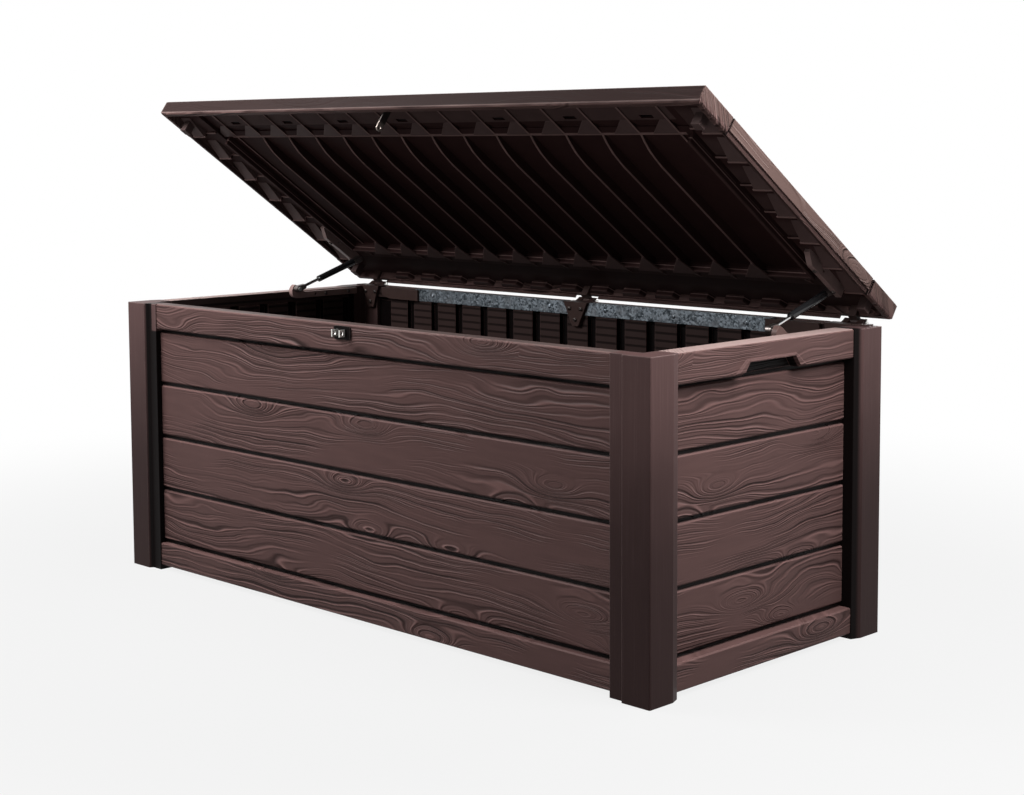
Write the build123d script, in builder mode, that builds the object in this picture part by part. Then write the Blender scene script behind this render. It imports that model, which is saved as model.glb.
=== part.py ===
from build123d import *
from math import cos, radians, sin
import os

os.makedirs("parts", exist_ok=True)

# Resin deck storage box with mock-timber walls, a hinged lid and two gas struts.
# Millimetres. X runs along the width, Y to the rear, Z up, and the ground is z = 0.
# The rest pose has the lid fully open, where the extended struts hold it, and
# the origin is on the ground under the middle of the open box.

# ---- Box body -------------------------------------------------------------
body_width = 1520.0  # over the corner posts
body_depth = 672.0
body_height = 589.0  # top of the posts and of the rails
body_middle_y = -10.5  # the open lid leans out behind, so the body sits forward
foot_height = 10.0  # the rails hang this far above the ground

bottom_rail_height = 54.0
top_rail_height = 59.0
plank_count = 4
groove_width = 8.0  # shadow groove between two planks
edge_bevel = 2.5  # worn edge of a plank or rail

front_rail_recess = 10.0  # how far each face lies behind the posts' faces
front_plank_recess = 20.0
front_groove_recess = 28.0
front_skin_recess = 32.0
side_rail_recess = 10.0
side_plank_recess = 30.0
side_groove_recess = 38.0
side_skin_recess = 42.0
rear_rail_recess = 5.0
rear_plank_recess = 9.0
rear_groove_recess = 13.0
rear_skin_recess = 16.0

# Stiffening pillows moulded on the inside of every wall
pillow_pitch = 83.3
pillow_gap = 20.0
pillow_depth = 10.0
pillow_taper = 12.0
pillow_above_floor = 4.0
rim_height = 24.0  # closed rim above the pillows
rim_slope = 8.0
ridge_height = 3.0  # low ridge on the rear wall's top, behind the bars
ridge_thickness = 2.5
ridge_gap = 2.0  # beside each hinge bracket

# Corner posts are angles: a long leg along X and a short one along Y
post_leg_x = 96.0
post_leg_y = 80.0
post_flat_x = 62.0  # raised part of a leg's face, before it steps back to the panel
post_flat_y = 60.0
post_step_x = 6.0  # width of the slope between the raised part and the step
post_edge_step = 2.0  # the step lies this far in front of the rail
post_corner_radius = 3.0
tongue_length = 14.0  # panel ends slide down slots in the posts
tongue_thickness = 8.0
tongue_bottom = 24.0
tongue_top_margin = 20.0
slot_clearance = 0.25

# Floor
ledge_height = 8.0
ledge_width = 12.0
floor_thickness = 20.0
floor_skin = 5.0
floor_rib = 5.0
floor_clearance = 0.5
floor_board_groove = 5.0
floor_board_groove_depth = 2.0
floor_boards = 5
floor_pockets = 6  # pockets under each board of a half
floor_lap = 22.0

# Hand grip under the top rail of each side
grip_offset_y = 5.0
grip_top_width = 134.0
grip_bottom_width = 180.0
grip_height = 30.0
grip_depth = 22.0
grip_lip_width = 5.0
grip_lip_flare = 14.0
grip_lip_height = 4.0
grip_lip_taper = 30.0

# ---- Lid ------------------------------------------------------------------
hinge_behind_body = 8.0  # hinge axis, behind the rear posts
hinge_above_body = 3.0
lid_open_angle = 35.0
lid_side_overhang = 13.0  # beyond the posts
lid_front_overhang = 27.5
lid_rear_gap = 2.0  # rear face of the closed lid, in front of the hinge axis
skirt_bottom = 8.5  # above the hinge axis, with the lid closed
skirt_height = 34.0
skirt_thickness = 12.0
lid_skin = 5.0
lid_bevel = 3.0
end_board_width = 94.0  # front and rear boards that run the whole width
side_board_width = 118.0
centre_board_count = 4
board_groove = 6.0
board_groove_depth = 3.0
side_face_recess = 2.0
side_rim_recess = 5.0  # rolled rim below the side boards
side_rim_height = 9.0
seam_depth = 5.0  # seam between a side board and the end boards
rear_lip_height = 6.5  # lip below the rear skirt, between the hinges
rear_lip_thickness = 4.0
rear_lip_notch = 34.0  # to each side of a hinge's middle

# Ribbed liner under the lid
liner_plate = 4.0
border_plate = 8.0
beam_thickness = 8.0
rib_pitch = 91.5
rib_thickness = 4.0
rib_bottom = 15.0
rib_bend = 82.0  # the ribs bend down behind the front beam
rib_bend_steps = ((0.2, 0.62), (0.5, 0.24))  # shares of the bend passed and of its drop left
rib_overlap = 1.0
front_beam_setback = 113.5
front_beam_height = 3.5
front_beam_top = 4.0
front_beam_slope = 16.0
trench_width = 12.0  # in front of the front beam, and beside the other beams
trench_depth = 3.0
beam_bottom = 11.0
beam_draft = 3.0
rear_beam_setback = 126.0
side_beam_to_strut = 22.0
gusset_thickness = 5.0
gusset_rise = 2.0
gusset_run = 44.0
side_web_setback = 86.0  # first side web
side_web_pitch = 86.5
side_web_count = 7
side_web_tall_width = 45.0
side_web_step = 10.5
pad_width = 62.0
pad_top_width = 46.0
pad_depth = 14.0
slot_length = 30.0
slot_width = 10.0
slot_setback = 63.5
slot_bays = (-7, -5, -3, -1, 2, 4, 6)  # counted from the middle
rest_pad_width = 18.0
rest_pad_gap = 0.5
rest_pad_inset = 24.0  # from the ends of the liner
rest_pad_rear_inset = 34.0
rest_pad_front_inset = 46.0

# ---- Hinges ---------------------------------------------------------------
hinge_from_side = 13.0  # middle of an outer hinge, inside the side walls
hinge_bracket_width = 90.0
centre_bracket_width = 69.0
knuckle_radius = 7.0
knuckle_span = 48.0
lid_knuckle_width = 18.0
knuckle_clearance = 0.5
pin_diameter = 5.0
pin_clearance = 0.3
bracket_plate = 2.5
bracket_leg_depth = 8.0
bracket_leg_height = 50.0
bracket_leg_bottom_width = 18.0
lug_wall = 6.0

# ---- Steel bars along the rear wall ---------------------------------------
bar_setback = 238.0  # ends of the bars, inside the body's ends
bar_inner_end = 38.0
bar_end_slant = 16.0
bar_height = 28.0
bar_flange = 14.0
bar_thickness = 2.0
bar_clip_length = 128.0
bar_clip_overlap = 12.0
bar_clip_depth = 7.0
bar_clip_nose = 9.0
bar_clip_slope = 26.0

# ---- Gas struts -----------------------------------------------------------
strut_to_rail = 10.0  # centre plane of a strut, beside its rail
lower_pivot_to_hinge = 259.0  # lower pivot, in front of the hinge axis
lower_pivot_above_body = 7.0
upper_pivot_back = 96.0  # in front of the hinge axis, along the lid
upper_pivot_up = 12.0  # above the hinge axis, square to the lid
cylinder_diameter = 15.0
cylinder_length = 112.0
cylinder_end_wall = 8.0
rod_diameter = 7.0
rod_clearance = 0.3
rod_engagement = 50.0
stud_diameter = 6.0
stud_clearance = 0.3
stud_head_diameter = 11.0
stud_head_sides = 6
stud_head_thickness = 1.5
eye_diameter = 16.0
eye_width = 12.0
eye_neck = 9.0  # width of the neck where it meets the strut
eye_neck_length = 20.0
strut_rail_thickness = 12.0
wall_rail_length = 188.0
wall_rail_height = 14.0
wall_rail_drop = 2.0  # top of the rail below the rim
wall_boss_radius = 9.0
wall_boss_shoulder = 4.5
wall_boss_slope = 18.0
lid_rail_front = 222.0
lid_rail_rear = 86.0
lid_rail_height = 22.0
lid_rail_nose = 7.0
rail_hole = 6.0
rail_hole_from_end = 60.0

# ---- Lock -----------------------------------------------------------------
lock_x = -30.0
lock_below_top = 17.0
lock_plate_width = 50.0
lock_plate_height = 27.0
lock_plate_thickness = 3.0
lock_plate_corner = 6.0
ear_spacing = 22.4
ear_thickness = 2.5
ear_height = 14.0
ear_reach = 16.0
ear_hole = 6.5
ear_hole_inset = 5.5  # from the tip of an ear
staple_base_thickness = 2.0
hasp_thickness = 3.0
hasp_width = 15.0
hasp_hole = 7.0
hasp_foot_length = 26.0
hasp_foot_thickness = 2.0

# ---- Places worked out from the sizes above -------------------------------
half_width = body_width / 2
front_y = body_middle_y - body_depth / 2
rear_y = body_middle_y + body_depth / 2
floor_ledge_z = foot_height + ledge_height
floor_top_z = floor_ledge_z + floor_thickness
planks_bottom = foot_height + bottom_rail_height
planks_top = body_height - top_rail_height
plank_pitch = (planks_top - planks_bottom) / plank_count
pillow_bottom = floor_top_z + pillow_above_floor
pillow_top = body_height - rim_height
front_inner_y = front_y + front_skin_recess + pillow_depth
rear_inner_y = rear_y - rear_skin_recess - pillow_depth
side_inner_x = half_width - side_skin_recess - pillow_depth
panel_half_x = half_width - post_leg_x
panel_half_y = body_depth / 2 - post_leg_y
hinge_y = rear_y + hinge_behind_body
hinge_z = body_height + hinge_above_body
hinge_offset_x = side_inner_x - hinge_from_side
bar_outer_end = half_width - bar_setback
rail_inner_x = side_inner_x - strut_rail_thickness
strut_x = rail_inner_x - strut_to_rail

lid_up = (0, sin(radians(lid_open_angle)), cos(radians(lid_open_angle)))
lid_plane = Plane(origin=(0, hinge_y, hinge_z), x_dir=(1, 0, 0), z_dir=lid_up)
lid_half = half_width + lid_side_overhang
lid_rear = -lid_rear_gap
lid_front = front_y - hinge_y - lid_front_overhang
lid_middle = (lid_front + lid_rear) / 2
lid_top_z = skirt_bottom + skirt_height
lid_skin_z = lid_top_z - lid_skin
liner_half = lid_half - skirt_thickness
liner_front = lid_front + skirt_thickness
liner_rear = lid_rear - skirt_thickness
liner_plate_z = lid_skin_z - liner_plate
border_z = liner_plate_z - border_plate
front_beam = liner_front + front_beam_setback
front_beam_z = liner_plate_z - front_beam_height
rear_beam = liner_rear - rear_beam_setback
rear_border = rear_beam + beam_thickness + trench_width
side_beam = strut_x - side_beam_to_strut
side_border = side_beam + beam_thickness + trench_width

lower_pivot_y = hinge_y - lower_pivot_to_hinge
lower_pivot_z = body_height + lower_pivot_above_body
wall_rail_top = body_height - wall_rail_drop
lid_rail_bottom = border_z - lid_rail_height
lock_face_y = front_y + front_rail_recess
lock_z = body_height - lock_below_top
ear_hole_y = lock_face_y - lock_plate_thickness - ear_reach + ear_hole_inset
hasp_along = ear_hole_y - hinge_y


def save(piece, name):
    """Label a finished piece and write it as its own file."""
    piece.part.label = name
    export_step(piece.part, f"parts/{name}.step")


def lid_section(x):
    """Plane square to X in the lid's own axes: (along the lid, square to the lid)."""
    origin = lid_plane.from_local_coords((x, 0, 0))
    return Plane(origin=origin, x_dir=lid_plane.y_dir, z_dir=(1, 0, 0))


def lid_point(x, along, up):
    """A point of the lid's own axes in the box's frame."""
    return lid_plane.from_local_coords((x, along, up))


# ---- Walls ----------------------------------------------------------------
def wall_outline(rail_recess, plank_recess, groove_recess, skin_recess):
    """Section of a wall as (recess, height) points: rails, planks and their grooves."""
    plank_edges = [planks_bottom + i * plank_pitch for i in range(plank_count + 1)]
    levels = [foot_height] + plank_edges + [body_height]
    last = len(levels) - 2
    points = [(skin_recess, foot_height)]
    for i, (low, high) in enumerate(zip(levels, levels[1:])):
        face = rail_recess if i in (0, last) else plank_recess
        start = low if i == 0 else low + groove_width / 2
        end = high if i == last else high - groove_width / 2
        if i > 0:
            points.append((groove_recess, start))
        points.append((face + edge_bevel, start))
        points.append((face, start + edge_bevel))
        points.append((face, end - edge_bevel))
        points.append((face + edge_bevel, end))
        if i < last:
            points.append((groove_recess, end))
    rim = skin_recess + pillow_depth
    points += [(rim, body_height), (rim, pillow_top), (skin_recess, pillow_top - rim_slope)]
    points += [(skin_recess, floor_ledge_z), (rim + ledge_width, floor_ledge_z)]
    points += [(rim + ledge_width, foot_height), (skin_recess, foot_height)]
    return points


def pillow_centres(half_length):
    """Centres of the pillows that fit between two posts."""
    count = int(2 * half_length / pillow_pitch)
    return [(i - (count - 1) / 2) * pillow_pitch for i in range(count)]


tongue_top = body_height - tongue_top_margin
tongue_height = tongue_top - tongue_bottom
pillow_height = pillow_top - pillow_bottom

front_outline = wall_outline(
    front_rail_recess, front_plank_recess, front_groove_recess, front_skin_recess
)
rear_outline = wall_outline(rear_rail_recess, rear_plank_recess, rear_groove_recess, rear_skin_recess)
side_outline = wall_outline(side_rail_recess, side_plank_recess, side_groove_recess, side_skin_recess)

# The rear wall's ridge stops at the hinge brackets
ridge_inner_x = centre_bracket_width / 2 + ridge_gap
ridge_outer_x = hinge_offset_x - hinge_bracket_width / 2 - ridge_gap
ridge_middle_x = (ridge_inner_x + ridge_outer_x) / 2
ridge_length = ridge_outer_x - ridge_inner_x
ridge_y = rear_inner_y + bar_flange + ridge_gap + ridge_thickness / 2

# Front and rear panels: the section runs along X, from post to post
for name, facing, outer_y, outline, skin_recess in (
    ("front_panel", -1, front_y, front_outline, front_skin_recess),
    ("rear_panel", 1, rear_y, rear_outline, rear_skin_recess),
):
    skin_y = outer_y - facing * skin_recess
    inward = (0, -facing, 0)
    tongue_y = skin_y + facing * tongue_thickness / 2
    with BuildPart() as long_panel:
        with BuildSketch(Plane.YZ):
            with BuildLine():
                Polyline([(outer_y - facing * recess, z) for recess, z in outline], close=True)
            make_face()
        extrude(amount=panel_half_x, both=True)
        pillow_face = Plane(
            origin=(0, skin_y, (pillow_bottom + pillow_top) / 2), x_dir=(1, 0, 0), z_dir=inward
        )
        with BuildSketch(pillow_face):
            with Locations([(x, 0) for x in pillow_centres(panel_half_x)]):
                Rectangle(pillow_pitch - pillow_gap, pillow_height)
        extrude(amount=pillow_depth, taper=pillow_taper)
        with BuildSketch(Plane.XY.offset(tongue_bottom)):
            with Locations((0, tongue_y)):
                Rectangle(2 * (panel_half_x + tongue_length), tongue_thickness)
        extrude(amount=tongue_height)
        if facing > 0:
            with BuildSketch(Plane.XY.offset(body_height)):
                with Locations((ridge_middle_x, ridge_y), (-ridge_middle_x, ridge_y)):
                    Rectangle(ridge_length, ridge_thickness)
            extrude(amount=ridge_height)
    save(long_panel, name)

# Side panels: the section runs along Y, and each carries a hand grip
grip_bottom_z = planks_top - groove_width / 2
grip_top_z = grip_bottom_z + grip_height
for name, facing in (("left_panel", -1), ("right_panel", 1)):
    skin_x = facing * (half_width - side_skin_recess)
    rail_x = facing * (half_width - side_rail_recess)
    tongue_x = facing * (half_width - side_skin_recess + tongue_thickness / 2)
    with BuildPart() as side_panel:
        with BuildSketch(Plane.XZ.offset(-body_middle_y)):
            with BuildLine():
                Polyline([(facing * (half_width - recess), z) for recess, z in side_outline], close=True)
            make_face()
        extrude(amount=panel_half_y, both=True)
        pillow_face = Plane(
            origin=(skin_x, body_middle_y, (pillow_bottom + pillow_top) / 2),
            x_dir=(0, 1, 0),
            z_dir=(-facing, 0, 0),
        )
        with BuildSketch(pillow_face):
            with Locations([(y, 0) for y in pillow_centres(panel_half_y)]):
                Rectangle(pillow_pitch - pillow_gap, pillow_height)
        extrude(amount=pillow_depth, taper=pillow_taper)
        with BuildSketch(Plane.XY.offset(tongue_bottom)):
            with Locations((tongue_x, body_middle_y)):
                Rectangle(tongue_thickness, 2 * (panel_half_y + tongue_length))
        extrude(amount=tongue_height)
        # Raised lip round the grip, then the pocket itself
        with BuildSketch(Plane(origin=(rail_x, 0, 0), x_dir=(0, facing, 0), z_dir=(facing, 0, 0))):
            with BuildLine():
                middle = facing * (body_middle_y + grip_offset_y)
                low = grip_bottom_width / 2 + grip_lip_flare
                high = grip_top_width / 2 + grip_lip_width
                lip_bottom = planks_top + groove_width / 2 + edge_bevel
                Polyline(
                    (middle - low, lip_bottom),
                    (middle - high, grip_top_z + grip_lip_width),
                    (middle + high, grip_top_z + grip_lip_width),
                    (middle + low, lip_bottom),
                    close=True,
                )
            make_face()
        extrude(amount=grip_lip_height, taper=grip_lip_taper)
        pocket_plane = Plane(
            origin=(rail_x + facing * grip_lip_height, 0, 0), x_dir=(0, facing, 0), z_dir=(facing, 0, 0)
        )
        with BuildSketch(pocket_plane):
            with BuildLine():
                low = grip_bottom_width / 2
                high = grip_top_width / 2
                Polyline(
                    (middle - low, grip_bottom_z),
                    (middle - high, grip_top_z),
                    (middle + high, grip_top_z),
                    (middle + low, grip_bottom_z),
                    close=True,
                )
            make_face()
        extrude(amount=-(grip_depth + grip_lip_height), mode=Mode.SUBTRACT)
    save(side_panel, name)

# ---- Corner posts ---------------------------------------------------------
side_leg_thickness = side_skin_recess + pillow_depth
side_step = side_rail_recess - post_edge_step
for name, sx, sy, corner_y, x_skin, rail_recess in (
    ("post_front_left", -1, -1, front_y, front_skin_recess, front_rail_recess),
    ("post_front_right", 1, -1, front_y, front_skin_recess, front_rail_recess),
    ("post_rear_left", -1, 1, rear_y, rear_skin_recess, rear_rail_recess),
    ("post_rear_right", 1, 1, rear_y, rear_skin_recess, rear_rail_recess),
):
    leg_thickness = x_skin + pillow_depth
    step = rail_recess - post_edge_step
    # (recess along X from the post's outer corner, recess along Y)
    corners = [
        (0, 0),
        (post_flat_x, 0),
        (post_flat_x + post_step_x, step),
        (post_leg_x, step),
        (post_leg_x, leg_thickness),
        (side_leg_thickness, leg_thickness),
        (side_leg_thickness, post_leg_y),
        (side_step, post_leg_y),
        (0, post_flat_y),
    ]
    x_slot_y = corner_y - sy * (x_skin - tongue_thickness / 2)
    y_slot_x = sx * (half_width - side_skin_recess + tongue_thickness / 2)
    slot_thickness = tongue_thickness + 2 * slot_clearance
    slot_reach = tongue_length + slot_clearance
    with BuildPart() as post:
        with BuildSketch():
            with BuildLine():
                Polyline([(sx * (half_width - u), corner_y - sy * v) for u, v in corners], close=True)
            make_face()
        extrude(amount=body_height)
        outer_edge = post.edges().filter_by(Axis.Z).sort_by_distance((sx * half_width, corner_y, 0))
        fillet(outer_edge[0], radius=post_corner_radius)
        with BuildSketch(Plane.XY.offset(tongue_bottom - slot_clearance)):
            with Locations((sx * panel_half_x, x_slot_y)):
                Rectangle(2 * slot_reach, slot_thickness)
            with Locations((y_slot_x, corner_y - sy * post_leg_y)):
                Rectangle(slot_thickness, 2 * slot_reach)
        extrude(amount=tongue_height + 2 * slot_clearance, mode=Mode.SUBTRACT)
    save(post, name)

# ---- Floor: two halves that lap over each other in the middle --------------
floor_half_x = side_inner_x - floor_clearance
floor_front_y = front_inner_y + floor_clearance
floor_rear_y = rear_inner_y - floor_clearance
floor_depth = floor_rear_y - floor_front_y
floor_centre_y = (floor_rear_y + floor_front_y) / 2
floor_board_pitch = floor_depth / floor_boards
for name, facing in (("floor_left", -1), ("floor_right", 1)):
    pocket_pitch = (floor_half_x - floor_lap - floor_rib) / floor_pockets
    with BuildPart() as floor_half:
        with BuildSketch(Plane.XY.offset(floor_ledge_z)):
            with Locations((facing * floor_half_x / 2, floor_centre_y)):
                Rectangle(floor_half_x, floor_depth)
        extrude(amount=floor_thickness)
        # Board grooves on top
        with BuildSketch(Plane.XY.offset(floor_top_z)):
            with Locations((facing * floor_half_x / 2, floor_centre_y)):
                with GridLocations(0, floor_board_pitch, 1, floor_boards - 1):
                    Rectangle(floor_half_x, floor_board_groove)
        extrude(amount=-floor_board_groove_depth, mode=Mode.SUBTRACT)
        # Waffle pockets underneath
        with BuildSketch(Plane.XY.offset(floor_ledge_z)):
            with Locations((facing * (floor_lap + (floor_half_x - floor_lap) / 2), floor_centre_y)):
                with GridLocations(pocket_pitch, floor_board_pitch, floor_pockets, floor_boards):
                    Rectangle(pocket_pitch - floor_rib, floor_board_pitch - floor_rib)
        extrude(amount=floor_thickness - floor_skin, mode=Mode.SUBTRACT)
        # Half-lap: the left half carries the right one
        if facing < 0:
            with BuildSketch(Plane.XY.offset(floor_ledge_z)):
                with Locations((floor_lap / 2, floor_centre_y)):
                    Rectangle(floor_lap, floor_depth)
            extrude(amount=floor_thickness / 2)
        else:
            with BuildSketch(Plane.XY.offset(floor_ledge_z)):
                with Locations(((floor_lap + floor_clearance) / 2, floor_centre_y)):
                    Rectangle(floor_lap + floor_clearance, floor_depth)
            extrude(amount=floor_thickness / 2, mode=Mode.SUBTRACT)
    save(floor_half, name)

# ---- Steel bars, their clips and the hinges on the rear wall ---------------
bar_top_z = body_height + bar_thickness
bar_bottom_z = bar_top_z - bar_height
bar_face = Plane(origin=(0, rear_inner_y, 0), x_dir=(1, 0, 0), z_dir=(0, -1, 0))
for name, facing in (("rear_bar_left", -1), ("rear_bar_right", 1)):
    with BuildPart() as rear_bar:
        with BuildSketch(bar_face):
            with BuildLine():
                Polyline(
                    (facing * bar_outer_end, bar_bottom_z),
                    (facing * bar_outer_end, bar_top_z),
                    (facing * bar_inner_end, bar_top_z),
                    (facing * (bar_inner_end - bar_end_slant), bar_bottom_z),
                    close=True,
                )
            make_face()
        extrude(amount=bar_thickness)
        with BuildSketch(Plane.XY.offset(body_height)):
            with Locations((facing * (bar_outer_end + bar_inner_end) / 2, rear_inner_y + bar_flange / 2)):
                Rectangle(bar_outer_end - bar_inner_end, bar_flange)
        extrude(amount=bar_thickness)
    save(rear_bar, name)

for name, facing in (("bar_clip_left", -1), ("bar_clip_right", 1)):
    clip_inner = bar_outer_end - bar_clip_overlap
    with BuildPart() as bar_clip:
        with BuildSketch(bar_face):
            with BuildLine():
                Polyline(
                    (facing * clip_inner, bar_bottom_z),
                    (facing * clip_inner, body_height),
                    (facing * (clip_inner + bar_clip_length), body_height),
                    (facing * (clip_inner + bar_clip_length), bar_bottom_z + bar_clip_nose),
                    (facing * (clip_inner + bar_clip_length - bar_clip_slope), bar_bottom_z),
                    close=True,
                )
            make_face()
        extrude(amount=bar_clip_depth)
        with BuildSketch(bar_face):
            with Locations((facing * (bar_outer_end + clip_inner) / 2, (bar_bottom_z + bar_top_z) / 2)):
                Rectangle(bar_clip_overlap + 2 * slot_clearance, bar_height + 2 * slot_clearance)
        extrude(amount=bar_thickness + slot_clearance, mode=Mode.SUBTRACT)
    save(bar_clip, name)

# Each hinge: a bracket on the rear wall with two knuckles, a lug on the lid, a pin
hinge_places = (("left", -1), ("centre", 0), ("right", 1))
lid_knuckle_gap = lid_knuckle_width / 2 + knuckle_clearance
for side, facing in hinge_places:
    x = facing * hinge_offset_x
    width = hinge_bracket_width if facing else centre_bracket_width
    # The outer brackets' legs stay clear of the rear posts' side legs
    leg_outer = side_inner_x - slot_clearance if facing else width / 2
    leg_inner = hinge_offset_x - width / 2 if facing else -width / 2
    leg_middle = (leg_inner + leg_outer) / 2
    leg_corners = (
        (leg_inner, body_height + bracket_plate),
        (leg_outer, body_height + bracket_plate),
        (leg_middle + bracket_leg_bottom_width / 2, body_height - bracket_leg_height),
        (leg_middle - bracket_leg_bottom_width / 2, body_height - bracket_leg_height),
    )
    mirror_x = -1 if facing < 0 else 1
    with BuildPart() as hinge_bracket:
        with BuildSketch(Plane.XY.offset(body_height)):
            with Locations((x, rear_inner_y)):
                Rectangle(width, rear_y - rear_inner_y, align=(Align.CENTER, Align.MIN))
        extrude(amount=bracket_plate)
        with BuildSketch(bar_face):
            with BuildLine():
                Polyline([(mirror_x * across, z) for across, z in leg_corners], close=True)
            make_face()
        extrude(amount=bracket_leg_depth)
        for start, amount in (
            (x - knuckle_span / 2, knuckle_span / 2 - lid_knuckle_gap),
            (x + lid_knuckle_gap, knuckle_span / 2 - lid_knuckle_gap),
        ):
            with BuildSketch(Plane.YZ.offset(start)):
                with Locations((hinge_y, hinge_z)):
                    Circle(knuckle_radius)
                with BuildLine():
                    Polyline(
                        (rear_y - knuckle_radius, body_height),
                        (rear_y, body_height),
                        (hinge_y, hinge_z - knuckle_radius),
                        (hinge_y, hinge_z + knuckle_radius),
                        (rear_y - knuckle_radius, body_height + bracket_plate),
                        close=True,
                    )
                make_face()
            extrude(amount=amount)
        with BuildSketch(Plane.YZ.offset(x - knuckle_span / 2)):
            with Locations((hinge_y, hinge_z)):
                Circle(pin_diameter / 2)
        extrude(amount=knuckle_span, mode=Mode.SUBTRACT)
    save(hinge_bracket, f"hinge_bracket_{side}")

    with BuildPart() as hinge_pin:
        with BuildSketch(Plane.YZ.offset(x - knuckle_span / 2)):
            with Locations((hinge_y, hinge_z)):
                Circle(pin_diameter / 2)
        extrude(amount=knuckle_span)
    save(hinge_pin, f"hinge_pin_{side}")

    with BuildPart() as lid_lug:
        with BuildSketch(lid_section(x - lid_knuckle_width / 2)):
            Circle(knuckle_radius)
            with BuildLine():
                inner = liner_rear
                Polyline(
                    (knuckle_radius, 0),
                    (lid_rear, skirt_bottom),
                    (inner, skirt_bottom),
                    (inner, border_z),
                    (inner - lug_wall, border_z),
                    (inner - lug_wall, skirt_bottom - lug_wall),
                    (-knuckle_radius, 0),
                    close=True,
                )
            make_face()
        extrude(amount=lid_knuckle_width)
        with BuildSketch(lid_section(x - lid_knuckle_width / 2)):
            Circle(pin_diameter / 2 + pin_clearance)
        extrude(amount=lid_knuckle_width, mode=Mode.SUBTRACT)
    save(lid_lug, f"lid_lug_{side}")

# ---- Lid: moulded top with mock boards ------------------------------------
centre_front = lid_front + end_board_width
centre_rear = lid_rear - end_board_width
centre_depth = centre_rear - centre_front
centre_board_pitch = centre_depth / centre_board_count
side_groove_x = lid_half - side_board_width
rear_lip = lid_rear - lid_bevel - rear_lip_thickness / 2
with BuildPart() as lid_top:
    with BuildSketch(lid_plane.offset(skirt_bottom)):
        with Locations((0, lid_middle)):
            Rectangle(2 * lid_half, lid_rear - lid_front)
    extrude(amount=skirt_height)
    lid_faces = lid_top.faces().sort_by(Axis(lid_plane.origin, lid_plane.z_dir))
    chamfer(lid_faces[0].edges() + lid_faces[-1].edges(), length=lid_bevel)
    # Hollow underside, which takes the liner
    with BuildSketch(lid_plane.offset(skirt_bottom)):
        with Locations((0, lid_middle)):
            Rectangle(2 * liner_half, liner_rear - liner_front)
    extrude(amount=skirt_height - lid_skin, mode=Mode.SUBTRACT)
    # Side faces step back between the front and rear boards, with seams at the ends
    with BuildSketch(lid_plane.offset(skirt_bottom)):
        with Locations((lid_half, lid_middle), (-lid_half, lid_middle)):
            Rectangle(2 * side_face_recess, centre_depth)
        for seam in (centre_front, centre_rear):
            with Locations((lid_half, seam), (-lid_half, seam)):
                Rectangle(2 * seam_depth, board_groove)
    extrude(amount=skirt_height, mode=Mode.SUBTRACT)
    with BuildSketch(lid_plane.offset(skirt_bottom)):
        with Locations((lid_half, lid_middle), (-lid_half, lid_middle)):
            Rectangle(2 * side_rim_recess, centre_depth)
    extrude(amount=side_rim_height, mode=Mode.SUBTRACT)
    # Lip below the rear skirt, left open at the hinges
    lip_middle = hinge_offset_x / 2
    with BuildSketch(lid_plane.offset(skirt_bottom)):
        with Locations((lip_middle, rear_lip), (-lip_middle, rear_lip)):
            Rectangle(hinge_offset_x - 2 * rear_lip_notch, rear_lip_thickness)
    extrude(amount=-rear_lip_height)
    # Grooves between the boards
    with BuildSketch(lid_plane.offset(lid_top_z)):
        with Locations((0, centre_front), (0, centre_rear)):
            Rectangle(2 * lid_half, board_groove)
        with Locations((side_groove_x, lid_middle), (-side_groove_x, lid_middle)):
            Rectangle(board_groove, centre_depth)
        with Locations([(0, centre_front + i * centre_board_pitch) for i in range(1, centre_board_count)]):
            Rectangle(2 * side_groove_x, board_groove)
    extrude(amount=-board_groove_depth, mode=Mode.SUBTRACT)
save(lid_top, "lid_top")

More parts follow.
